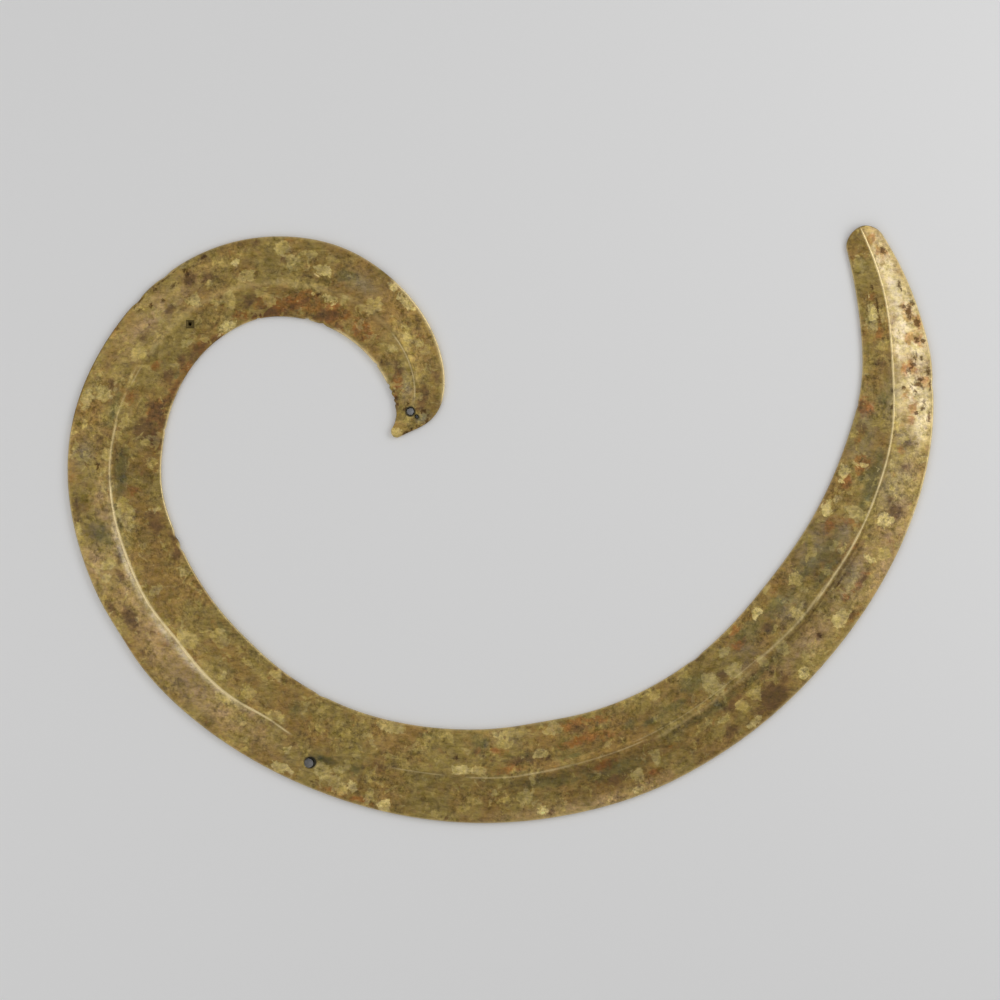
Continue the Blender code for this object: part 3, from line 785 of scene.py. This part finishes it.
def sweep_band(guide, material, sizes):
    """The band as a plain mesh, swept along the guide."""
    sweep = guide.modifiers.new("sweep", "NODES")
    sweep.node_group = hammered_band_tree()
    for name, *_ in BAND_INPUTS:
        value = getattr(sizes, name.lower().replace(" ", "_"), None)
        if value is not None:
            sweep[modifier_input(sweep, name)] = value
    sweep[modifier_input(sweep, "Material")] = material
    mesh = evaluated_mesh(guide)
    mesh.name = BAND
    mesh.materials.clear()
    mesh.materials.append(material)
    mesh.polygons.foreach_set("material_index", np.zeros(len(mesh.polygons), dtype=np.int32))
    bpy.data.objects.remove(guide, do_unlink=True)
    return add_object(BAND, mesh)


def hole_centre(hole, ridge):
    turn = np.radians(hole.turn)
    point, outward = ridge.at_turn(turn)
    inner, outer = ridge.flanges(turn)
    flange = outer if hole.place > 0 else inner
    return point + hole.place * flange * outward


def punch_loops(hole, centre, low, high):
    """The punch's loops from below the sheet to above it, narrowing and leaning in the sheet."""
    radius = hole.across / 2 / math.cos(math.pi / hole.sides)
    lean = np.array(hole.lean)
    angles = np.radians(hole.turn) + np.arange(hole.sides) * 2 * math.pi / hole.sides
    circle = np.stack([np.cos(angles), np.sin(angles)], -1)
    below = centre + lean + radius * hole.narrow * circle
    above = centre + radius * circle
    heights = (-HEIGHT, low, high, 3 * HEIGHT)
    return [
        [(*point, z) for point in loop] for loop, z in zip((below, below, above, above), heights)
    ]


def punch_holes(band, ridge, sheet):
    """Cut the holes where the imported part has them."""
    places = coordinates(band.data)
    punch = bmesh.new()
    for hole in HOLES:
        centre = hole_centre(hole, ridge)
        near = np.hypot(*(places[:, :2] - centre).T) < hole.across
        high = places[near, 2].max()
        loops = punch_loops(hole, centre, high - sheet, high)
        rings = [[punch.verts.new(place) for place in loop] for loop in loops]
        for below, above in zip(rings, rings[1:]):
            for k in range(hole.sides):
                side = (below[k - 1], below[k], above[k], above[k - 1])
                punch.faces.new(side)
        punch.faces.new(rings[0][::-1])
        punch.faces.new(rings[-1])
    mesh = bpy.data.meshes.new("punch")
    punch.to_mesh(mesh)
    punch.free()
    cutter = add_object("punch", mesh)
    cut = band.modifiers.new("holes", "BOOLEAN")
    cut.operation = "DIFFERENCE"
    cut.solver = "EXACT"
    cut.object = cutter
    holed = evaluated_mesh(band)
    band.modifiers.remove(cut)
    old = band.data
    band.data = holed
    holed.name = BAND
    bpy.data.meshes.remove(old)
    bpy.data.objects.remove(cutter, do_unlink=True)


def coordinates(mesh):
    places = np.empty(len(mesh.vertices) * 3)
    mesh.vertices.foreach_get("co", places)
    return places.reshape(-1, 3)


def nearness(along, across, spot, turn=0.0):
    """1 at the middle of a spot, 0 on its rim and negative outside it, as for a cone."""
    ahead = along - spot[0]
    aside = across - spot[1]
    cosine = math.cos(math.radians(turn))
    sine = math.sin(math.radians(turn))
    long_way = (ahead * cosine + aside * sine) / spot[2]
    short_way = (aside * cosine - ahead * sine) / spot[3]
    return 1 - np.hypot(long_way, short_way)


def dent_band(band, ridge):
    """Press the dents and scratches in, and file the nicks into the rims."""
    places = coordinates(band.data)
    along, across = ridge.place_of(places[:, :2])
    inner, outer = ridge.flanges(ridge.turn_at(along))
    along = along / MM
    across = across / MM
    for dent in DENTS:
        near = nearness(along, across, dent[:4], dent.turn)
        press = dent.depth * MM * np.exp(-DENT_FALL * (1 - near) ** 2)
        places[:, 2] -= press * (places[:, 2] > MM / 2)
    edge = np.where(across > 0, outer, inner) / MM
    inward = -np.sign(across)
    turn = ridge.turn_at(along * MM)
    _, outward = ridge.at_turn(turn)
    rim = ease((np.abs(across) - edge + NICK_REACH) / NICK_REACH)
    for nick in NICKS:
        near = np.exp(-(((along - nick.along) / nick.length) ** 2))
        push = nick.depth * MM * near * rim * (np.sign(across) == nick.edge)
        places[:, :2] += (push * inward)[:, None] * outward
    places[:, 2] = np.maximum(places[:, 2], 0.0)
    band.data.vertices.foreach_set("co", places.ravel())
    band.data.update()
    return along, across, edge


def cone_field(along, across, spots):
    """How deep each point is inside its nearest spot, in millimetres."""
    field = np.full(len(along), -STAIN_DEPTH)
    for spot in spots:
        depth = nearness(along, across, spot) * min(spot[2], spot[3])
        field = np.maximum(field, depth)
    return np.clip(field, -STAIN_DEPTH, STAIN_DEPTH)


def cloud_field(along, across, spots):
    """How strongly each point lies in soft-edged zones, from 0 to 1."""
    field = np.zeros(len(along))
    for spot in spots:
        field = np.maximum(field, np.exp(-((1 - nearness(along, across, spot)) ** 2)))
    return field


def wear_and_painted_light_field(along, across, edge, crest):
    """Where the crest and rims are rubbed bright, partly as painted highlight, and where painted
    shadow lines lie, in millimetres.
    """
    field = np.zeros(len(along))
    for line in WEAR_AND_PAINTED_LIGHT_LINES:
        reach = ease((along - line.start) / LINE_FADE) * ease((line.end - along) / LINE_FADE)
        if abs(line.place) == 1:
            gap = np.where(np.sign(across) == line.place, edge - np.abs(across), np.inf)
        else:
            gap = across - crest - line.place
        value = line.strength * reach * np.exp(-((gap / line.width) ** 2))
        field = np.where(np.abs(value) > np.abs(field), value, field)
    return field


def painted_light_and_tone_field(along, across):
    """How much lighter or darker each point is than the patina round it, from the patina's own tone
    and from painted light and shade.
    """
    field = np.zeros(len(along))
    for *spot, gain in PAINTED_LIGHT_AND_TONE:
        field += gain * np.exp(-((1 - nearness(along, across, spot)) ** 2))
    return field


def paint_masks(band, ridge, along, across, edge):
    """Store the stains, the painted highlight and shadow lines and the painted light and shade as
    attributes that the patina reads.
    """
    crest = ridge.sway(along * MM) / MM
    past_crest = ease((across - crest - ZONE_START) / ZONE_FADE)
    values = {
        "along": along * MM,
        "across": across * MM,
        "flakes": cone_field(along, across, PALE_FLAKES),
        "bright": cone_field(along, across, BRIGHT_FLAKES),
        "umber": cone_field(along, across, UMBER_STAINS),
        "rust": cone_field(along, across, RUST_STAINS),
        "specks": cone_field(along, across, DARK_SPECKS),
        "green": cloud_field(along, across, GREEN_STAINS),
        "tan": cloud_field(along, across, TAN_ZONES) * past_crest,
        "cream_and_sheen": cloud_field(along, across, CREAM_AND_SHEEN_ZONES) * past_crest,
        "wear_and_painted_light": wear_and_painted_light_field(along, across, edge, crest),
        "haze": cloud_field(along, across, HAZE_ZONES),
        "painted_light_and_tone": painted_light_and_tone_field(along, across),
    }
    mesh = band.data
    if "climb" in mesh.attributes:
        mesh.attributes.remove(mesh.attributes["climb"])
    for name, value in values.items():
        mesh.attributes.new(name, "FLOAT", "POINT").data.foreach_set("value", value)


PATCH_INPUTS = (
    ("Vector", "NodeSocketVector", None),
    ("Depth", "NodeSocketFloat", 0.0),
    ("Size", "NodeSocketFloat", 0.002),
    ("Raggedness", "NodeSocketFloat", 1.0),
    ("Softness", "NodeSocketFloat", 0.2),
    ("Level", "NodeSocketFloat", 0.0),
)


def soft_step(tree, value, low, high):
    """0 under the low mark and 1 over the high one."""
    inputs = {"Value": value, "From Min": low, "From Max": high}
    return put(tree, "ShaderNodeMapRange", inputs, interpolation_type="SMOOTHSTEP")


def noise(tree, vector, scale, detail, rough, distortion):
    inputs = {"Vector": vector, "Scale": scale, "Detail": detail, "Roughness": rough}
    inputs["Distortion"] = distortion
    return put(tree, "ShaderNodeTexNoise", inputs)


def broken_patch_group():
    """A mask with a crisp, ragged rim, from a depth inside a stain and noise that breaks it."""
    output = ("Mask", "NodeSocketFloat")
    tree, given, out = new_tree("broken_patch", "ShaderNodeTree", PATCH_INPUTS, output)
    ragged = noise(tree, given["Vector"], 1.0 / given["Size"], 5.0, 0.65, 0.6)
    ragged = calc("MULTIPLY_ADD", ragged, 2.0, -1.0)
    depth = calc("MULTIPLY_ADD", ragged, given["Raggedness"], given["Depth"])
    low = given["Level"] - given["Softness"]
    high = given["Level"] + given["Softness"]
    soft_step(tree, depth, low, high).plug(out)
    return tree


class Shading:
    """Short ways to lay nodes in one material's tree."""

    def __init__(self, material):
        self.tree = material.node_tree
        self.shader = self.tree.nodes["Principled BSDF"]
        self.broken_patch = broken_patch_group()
        self.where = put(self.tree, "ShaderNodeTexCoord", output="Object")

    def attribute(self, name):
        return put(self.tree, "ShaderNodeAttribute", output="Fac", attribute_name=name)

    def patch(self, name, size, raggedness, softness, level):
        """A ragged mask round the places where the depth in a stain is over a level."""
        inputs = {"Vector": self.where, "Depth": self.attribute(name), "Size": size}
        inputs.update({"Raggedness": raggedness, "Softness": softness, "Level": level})
        return put(self.tree, "ShaderNodeGroup", inputs, "Mask", node_tree=self.broken_patch)

    def noise(self, size, detail=3.0, rough=0.55, distortion=0.0, vector=None):
        return noise(self.tree, vector or self.where, 1 / size, detail, rough, distortion)

    def ramp(self, value, low, high):
        return soft_step(self.tree, value, low, high)

    def blend(self, base, over, mask, mode="MIX"):
        inputs = {0: mask, 6: colour(base), 7: colour(over)}
        return put(self.tree, "ShaderNodeMix", inputs, 2, data_type="RGBA", blend_type=mode)

    def sway(self, base, noise, amount):
        """A number moved up and down by a noise."""
        swing = self.ramp(noise, *NOISE_RANGE) - 0.5
        return calc("MULTIPLY_ADD", swing, amount, base)

    def shift(self, base, amount, mask):
        """A number moved by an amount where the mask is."""
        return calc("MULTIPLY_ADD", mask, amount, base)

    def outside(self, hole, centre):
        """How far a place is outside a hole's upright round or square wall."""
        away = vector_calc(self.tree, "SUBTRACT", self.where, (*centre, 0.0))
        x, y = (put(self.tree, "ShaderNodeSeparateXYZ", {0: away}, axis) for axis in (0, 1))
        if hole.sides == 4:
            distance = calc("MAXIMUM", calc("ABSOLUTE", x), calc("ABSOLUTE", y))
        else:
            distance = calc("SQRT", x**2.0 + y**2.0)
        return distance - hole.across / 2


def colour(values):
    """A paint as a colour socket takes it; a wire stays as it is."""
    return values if isinstance(values, Wire) else (*values, 1.0)


def aged_brass(paint, ridge):
    """Satin brass under a mottled brown and olive patina, with pale flakes where it came off."""
    material = bpy.data.materials.new(SLOT)
    material.use_nodes = True
    lay = Shading(material)

    # Noise from broad to fine, grain that runs along the band, and slanted strokes
    broad = lay.noise(0.030, 3.0, 0.5)
    middle = lay.noise(0.008, 5.0, 0.65)
    tone = lay.noise(0.0032, 6.0, 0.7)
    fine = lay.noise(0.0011, 5.0, 0.72)
    strip = {"X": lay.attribute("along") * GRAIN_STRETCH, "Y": lay.attribute("across")}
    strip = put(lay.tree, "ShaderNodeCombineXYZ", strip)
    grain = lay.noise(0.0006, 4.0, 0.6, vector=strip)
    slant = {"Vector": lay.where, "Rotation": (0.0, 0.0, 0.7), "Scale": (0.35, 1.0, 1.0)}
    slant = put(lay.tree, "ShaderNodeMapping", slant)
    strokes = lay.noise(0.0011, 4.0, 0.7, 0.6, vector=slant)

    # Olive and brown, with thin tan places and tarnish
    hue = calc("MULTIPLY_ADD", middle, 0.6, broad * 0.4)
    base = lay.blend(paint.olive, paint.brown, lay.ramp(hue, 0.42, 0.58))
    base = lay.blend(base, paint.tan, lay.attribute("tan") * lay.ramp(middle, 0.25, 0.6))
    tarnish = lay.ramp(lay.noise(0.0055, 6.0, 0.68, 1.0), 0.53, 0.68)
    base = lay.blend(base, paint.dark_olive, tarnish * 0.6)

    # Green stains and the grey bloom
    green = lay.patch("green", 0.0035, 1.1, 0.4, 0.55)
    teal = lay.ramp(lay.noise(0.005, 3.0, 0.5), 0.55, 0.68)
    base = lay.blend(base, lay.blend(paint.green, paint.teal, teal), green * 0.6)
    haze = lay.attribute("haze") * lay.ramp(middle, 0.3, 0.6) * 0.5
    base = lay.blend(base, paint.haze, haze)

    # Rust and umber, in the placed stains and in small ones of their own
    rust = lay.patch("rust", 0.003, 3.4, 0.9, 0.1)
    base = lay.blend(base, paint.rust, rust * lay.ramp(tone, 0.25, 0.6) * 0.62)
    glow = lay.ramp(lay.noise(0.0045, 5.0, 0.65, 0.5), 0.60, 0.72)
    base = lay.blend(base, paint.rust, glow * 0.3)
    umber = lay.patch("umber", 0.0026, 2.8, 1.0, 0.1)
    base = lay.blend(base, paint.umber, umber * 0.72)
    small_dark = lay.ramp(lay.noise(0.0026, 4.0, 0.6, 0.8), 0.63, 0.70)
    base = lay.blend(base, paint.umber, small_dark * 0.5)

    # Pale flakes, crumbs of them, the palest ones and the cream flange, whose cream is partly
    # painted sheen and highlight
    flakes = lay.patch("flakes", 0.0028, 2.6, 0.16, 0.05)
    inside = calc("MULTIPLY_ADD", lay.ramp(tone, 0.3, 0.62), 0.28, 0.34)
    greyer = lay.ramp(lay.noise(0.012, 2.0, 0.5), 0.4, 0.6)
    pale = lay.blend(paint.flake, paint.grey_flake, greyer)
    base = lay.blend(base, pale, flakes * inside)
    crumbs = lay.ramp(lay.noise(0.0042, 5.0, 0.6, 0.7), 0.592, 0.612)
    base = lay.blend(base, pale, crumbs * 0.4)
    bright = lay.patch("bright", 0.0026, 2.6, 0.16, 0.05)
    base = lay.blend(base, paint.bright_flake, bright * inside * 1.1)
    cream_and_sheen = lay.attribute("cream_and_sheen") * lay.ramp(tone, 0.24, 0.54) * lay.shift(1.0, -0.75, rust)
    base = lay.blend(base, paint.cream_and_sheen, cream_and_sheen * 0.86)

    # Dark specks and pits
    specks = lay.patch("specks", 0.0012, 1.5, 0.34, 0.05)
    base = lay.blend(base, paint.speck_and_shadow, specks * 0.86)
    pits = lay.shift(lay.noise(0.0014, 3.0, 0.6, 0.4), 0.07, lay.attribute("cream_and_sheen"))
    base = lay.blend(base, paint.speck_and_shadow, lay.ramp(pits, 0.68, 0.74) * 0.55)

    # The mottle of light and dark: speckled where rough, streaked where smooth
    rough = lay.ramp(lay.noise(0.010, 3.0, 0.55), 0.42, 0.60)
    shade = calc("MULTIPLY_ADD", grain - 0.5, 0.24, -0.10)
    shade = lay.sway(shade, tone, lay.shift(0.50, 0.34, rough))
    shade = lay.sway(shade, fine, lay.shift(0.22, 0.72, rough))
    shade = lay.sway(shade, strokes, lay.shift(0.24, 0.36, 1.0 - rough))
    calm = lay.shift(1.0, -0.30, lay.attribute("cream_and_sheen"))
    shade = calc("MULTIPLY_ADD", shade, calm, 1.12)
    # Broad places painted lighter or darker, partly the patina's own tone and partly painted light
    # and shade
    shade = shade * (lay.attribute("painted_light_and_tone") + 1.0)
    tinge = lay.sway(shade, lay.noise(0.0017, 5.0, 0.7), 0.5)
    shade = put(lay.tree, "ShaderNodeCombineColor", {0: shade, 1: shade, 2: tinge})
    base = lay.blend(base, shade, 1.0, "MULTIPLY")

    # Painted shadow lines beside the crest, bare metal on the crest and rims that is partly painted
    # highlight, and the holes: painted shade on the round holes' walls and in rings round them,
    # dark brown on the nail hole's walls
    worn_or_painted_lines = lay.attribute("wear_and_painted_light")
    painted_shadow_lines = calc("MAXIMUM", worn_or_painted_lines * -1.0, 0.0) * lay.ramp(tone, 0.3, 0.5)
    base = lay.blend(base, paint.speck_and_shadow, painted_shadow_lines)
    # Bare metal where worn, partly a painted highlight along the crest and rims
    broken = calc("MULTIPLY_ADD", lay.ramp(tone, 0.35, 0.55), 0.4, 0.6)
    wear_and_painted_light = calc("MAXIMUM", worn_or_painted_lines, 0.0) * lay.ramp(fine, 0.18, 0.46) * broken
    base = lay.blend(base, paint.bare_and_highlight, wear_and_painted_light)
    for hole in HOLES:
        outside = lay.outside(hole, hole_centre(hole, ridge))
        wall = paint.nail_hole_brown if hole.sides == 4 else paint.hole_wall_shade
        # A ring of painted shade round each round hole
        painted_shade_ring = 1.0 - lay.ramp(outside, HOLE_STEP, HOLE_RING)
        base = lay.blend(base, wall, painted_shade_ring * lay.ramp(tone, 0.2, 0.4) * hole.rim)
        base = lay.blend(base, wall, 1.0 - lay.ramp(outside, -HOLE_STEP, HOLE_STEP))
    base.plug(lay.shader.inputs["Base Color"])

    roughness = calc("MULTIPLY_ADD", middle, 0.30, 0.27)
    for amount, mask in ((0.10, umber), (-0.16, wear_and_painted_light)):
        roughness = lay.shift(roughness, amount, mask)
    roughness.plug(lay.shader.inputs["Roughness"])

    metallic = 0.85
    dulling = ((-0.35, umber), (-0.15, flakes), (-0.15, green), (-0.35, wear_and_painted_light), (-0.2, cream_and_sheen))
    for amount, mask in dulling:
        metallic = lay.shift(metallic, amount, mask)
    metallic.plug(lay.shader.inputs["Metallic"])

    relief = calc("MULTIPLY_ADD", fine, 0.6, grain * 0.25)
    relief = calc("MULTIPLY_ADD", tone, 0.8, relief)
    for amount, mask in ((-0.5, specks), (-0.12, flakes), (-0.08, crumbs)):
        relief = lay.shift(relief, amount, mask)
    relief = {"Height": relief, "Distance": RELIEF_DEPTH, "Strength": 0.7}
    put(lay.tree, "ShaderNodeBump", relief).plug(lay.shader.inputs["Normal"])
    return material


def plain_material(name, paint, roughness):
    material = bpy.data.materials.new(name)
    material.use_nodes = True
    shader = material.node_tree.nodes["Principled BSDF"]
    shader.inputs["Base Color"].default_value = colour(paint)
    shader.inputs["Roughness"].default_value = roughness
    return material


def length_setting(label, what, default):
    return bpy.props.FloatProperty(name=label, description=what, default=default, unit="LENGTH")


def share_setting(label, what, default):
    return bpy.props.FloatProperty(name=label, description=what, default=default, subtype="FACTOR")


def count_setting(label, what, default):
    return bpy.props.IntProperty(name=label, description=what, default=default, subtype="UNSIGNED")


class BandSizes(bpy.types.PropertyGroup):
    """Sizes of the band."""

    reach: length_setting("Reach", "From the curl's hub to the tail's ridge", REACH_SHARE * SPAN)
    width: length_setting("Band Width", "What the flange widths are shares of", BAND_SHARE * SPAN)
    sheet: length_setting("Sheet", "Thickness of the sheet", SHEET)
    rim_land: length_setting("Rim Land", "Width of the level strip along each edge", RIM_LAND)
    edge_round: length_setting("Edge Round", "How far in the rims are rounded", EDGE_ROUND)
    crest_share: share_setting("Crest Share", "The ridge's rise as a share of the height", 0.745)
    hammer_depth: length_setting("Hammer Depth", "Unevenness of the flanks", HAMMER_DEPTH)
    hammer_size: length_setting("Hammer Size", "Spacing of the unevenness", HAMMER_SIZE)
    row_step: length_setting("Row Step", "Spacing of the mesh's rows", ROW_STEP)
    top_columns: count_setting("Top Columns", "Points across the face", TOP_COLUMNS)
    under_columns: count_setting("Under Columns", "Points across the underside", UNDER_COLUMNS)


def tint(label, what, default):
    return bpy.props.FloatVectorProperty(
        name=label, description=what, default=default, subtype="COLOR", min=0, max=1
    )


class PatinaColours(bpy.types.PropertyGroup):
    """Colours of the aged brass, as linear red, green and blue."""

    olive: tint("Olive", "The patina's main colour", (0.35, 0.255, 0.077))
    brown: tint("Brown", "The browner half of the patina", (0.325, 0.20, 0.060))
    dark_olive: tint("Dark Olive", "Tarnish in the patina", (0.165, 0.118, 0.032))
    tan: tint("Tan", "Where the patina has worn thin", (0.46, 0.31, 0.145))
    green: tint("Green", "Olive greens along the ridge", (0.14, 0.13, 0.040))
    teal: tint("Teal", "Blue-green stains", (0.12, 0.15, 0.085))
    rust: tint("Rust", "Orange-brown stains", (0.33, 0.102, 0.024))
    umber: tint("Umber", "Purple-brown stains", (0.130, 0.060, 0.018))
    flake: tint("Flake", "Where the patina came off", (0.60, 0.455, 0.135))
    grey_flake: tint("Grey Flake", "The greyer flakes", (0.55, 0.44, 0.165))
    bright_flake: tint("Bright Flake", "The palest flakes", (0.78, 0.63, 0.25))
    # The cream is partly painted sheen and highlight
    cream_and_sheen: tint("Cream", "The pale flange beside the tail", (0.76, 0.63, 0.38))
    haze: tint("Haze", "A grey bloom", (0.27, 0.25, 0.165))
    # Also the colour of the painted shadow lines
    speck_and_shadow: tint("Speck", "Pits and specks", (0.080, 0.036, 0.009))
    # Painted shade: the near black of the round holes' walls and of the rings round them
    hole_wall_shade: tint("Hollow", "The holes' walls", (0.035, 0.032, 0.020))
    # The dark brown painted on the nail hole's walls
    nail_hole_brown: tint("Dirt", "Dirt that fills the nail hole", (0.118, 0.084, 0.026))
    # Bare metal, partly a painted highlight where the crest and rims catch the light
    bare_and_highlight: tint("Bare", "Bare metal on the crest and rims", (1.0, 0.80, 0.41))


class StageLights(bpy.types.PropertyGroup):
    """The studio around the ornament."""

    floor: tint("Floor", "The floor's colour", (0.86, 0.86, 0.86))
    lens: bpy.props.FloatProperty(
        name="Lens", description="The camera's focal length", default=320.0, unit="CAMERA"
    )
    view_width: length_setting("View Width", "The width that shows", SPAN / PICTURE_SHARE)
    lights: share_setting("Lights", "Strength of the softboxes together", 1.0)
    fill: share_setting("Fill", "Strength of the even light from all round", 0.46)


class ORNAMENT_OT_band(bpy.types.Operator):
    """Sweep the band, punch it, dent it and lay its patina"""

    bl_idname = "ornament.band"
    bl_label = "Hammered Band"

    def execute(self, context):
        sizes = context.scene.ornament_sizes
        ridge = Ridge(sizes.reach, sizes.width)
        guide = ridge_guide(ridge, sizes.crest_share * HEIGHT, sizes.row_step)
        brass = aged_brass(context.scene.ornament_paint, ridge)
        band = sweep_band(guide, brass, sizes)
        punch_holes(band, ridge, sizes.sheet)
        along, across, edge = dent_band(band, ridge)
        paint_masks(band, ridge, along, across, edge)
        band.data.shade_smooth()
        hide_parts(NODE)
        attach(band, "root")
        return {"FINISHED"}


class ORNAMENT_OT_stage(bpy.types.Operator):
    """Lay the floor, hang the lights and set the camera"""

    bl_idname = "ornament.stage"
    bl_label = "Stage"

    def execute(self, context):
        stage = context.scene.ornament_stage
        self.floor(stage)
        self.camera(context, stage)
        for softbox in SOFTBOXES:
            self.softbox(softbox, stage.lights)
        self.world(context, stage)
        context.scene.view_settings.view_transform = "Standard"
        return {"FINISHED"}

    def floor(self, stage):
        mesh = bpy.data.meshes.new("floor")
        signs = ((-1, -1), (1, -1), (1, 1), (-1, 1))
        corners = [(x * FLOOR_HALF, y * FLOOR_HALF, 0) for x, y in signs]
        mesh.from_pydata(corners, [], [(0, 1, 2, 3)])
        mesh.materials.append(plain_material("floor", stage.floor, FLOOR_ROUGHNESS))
        floor = add_object("floor", mesh)
        floor.location.z = -FLOOR_DROP

    def camera(self, context, stage):
        data = bpy.data.cameras.new("camera")
        data.lens = stage.lens
        data.sensor_width = SENSOR
        data.clip_start, data.clip_end = CAMERA_CLIP
        camera = add_object("camera", data)
        height = RIM_TOP + stage.view_width * stage.lens / SENSOR
        offset_x, offset_y = CAMERA_OFFSET
        camera.location = (MIDDLE[0] + offset_x * SPAN, MIDDLE[1] + offset_y * SPAN, height)
        context.scene.camera = camera

    def softbox(self, softbox, strength):
        data = bpy.data.lights.new(softbox.name, "AREA")
        data.shape = "RECTANGLE"
        data.size = SOFTBOX_DEPTH
        data.size_y = softbox.width
        data.energy = softbox.power * strength
        light = add_object(softbox.name, data)
        turn = math.radians(softbox.turn)
        tilt = math.radians(softbox.tilt)
        level = SOFTBOX_AWAY * math.sin(tilt)
        height = SOFTBOX_AWAY * math.cos(tilt)
        light.location = (level * math.cos(turn), level * math.sin(turn), height)
        light.rotation_euler = (0.0, tilt, turn)

    def world(self, context, stage):
        world = bpy.data.worlds.new("studio")
        world.use_nodes = True
        background = world.node_tree.nodes["Background"]
        background.inputs["Color"].default_value = (1, 1, 1, 1)
        background.inputs["Strength"].default_value = stage.fill
        context.scene.world = world


class ORNAMENT_PT_panel(bpy.types.Panel):
    """Head ornament"""

    bl_idname = "ORNAMENT_PT_panel"
    bl_label = "Head Ornament"
    bl_space_type = "VIEW_3D"
    bl_region_type = "UI"
    bl_category = "Head Ornament"

    def draw(self, context):
        for operator, settings in (
            (ORNAMENT_OT_band, context.scene.ornament_sizes),
            (ORNAMENT_OT_stage, context.scene.ornament_stage),
        ):
            box = self.layout.box()
            box.operator(operator.bl_idname)
            for name in settings.__annotations__:
                box.prop(settings, name)
        box = self.layout.box()
        for name in context.scene.ornament_paint.__annotations__:
            box.prop(context.scene.ornament_paint, name)


CLASSES = (
    BandSizes,
    PatinaColours,
    StageLights,
    ORNAMENT_OT_band,
    ORNAMENT_OT_stage,
    ORNAMENT_PT_panel,
)


def register():
    for made in CLASSES:
        bpy.utils.register_class(made)
    bpy.types.Scene.ornament_sizes = bpy.props.PointerProperty(type=BandSizes)
    bpy.types.Scene.ornament_paint = bpy.props.PointerProperty(type=PatinaColours)
    bpy.types.Scene.ornament_stage = bpy.props.PointerProperty(type=StageLights)


def unregister():
    del bpy.types.Scene.ornament_sizes
    del bpy.types.Scene.ornament_paint
    del bpy.types.Scene.ornament_stage
    for made in reversed(CLASSES):
        bpy.utils.unregister_class(made)


def main():
    register()
    bpy.ops.ornament.band()
    bpy.ops.ornament.stage()


if __name__ == "__main__":
    main()
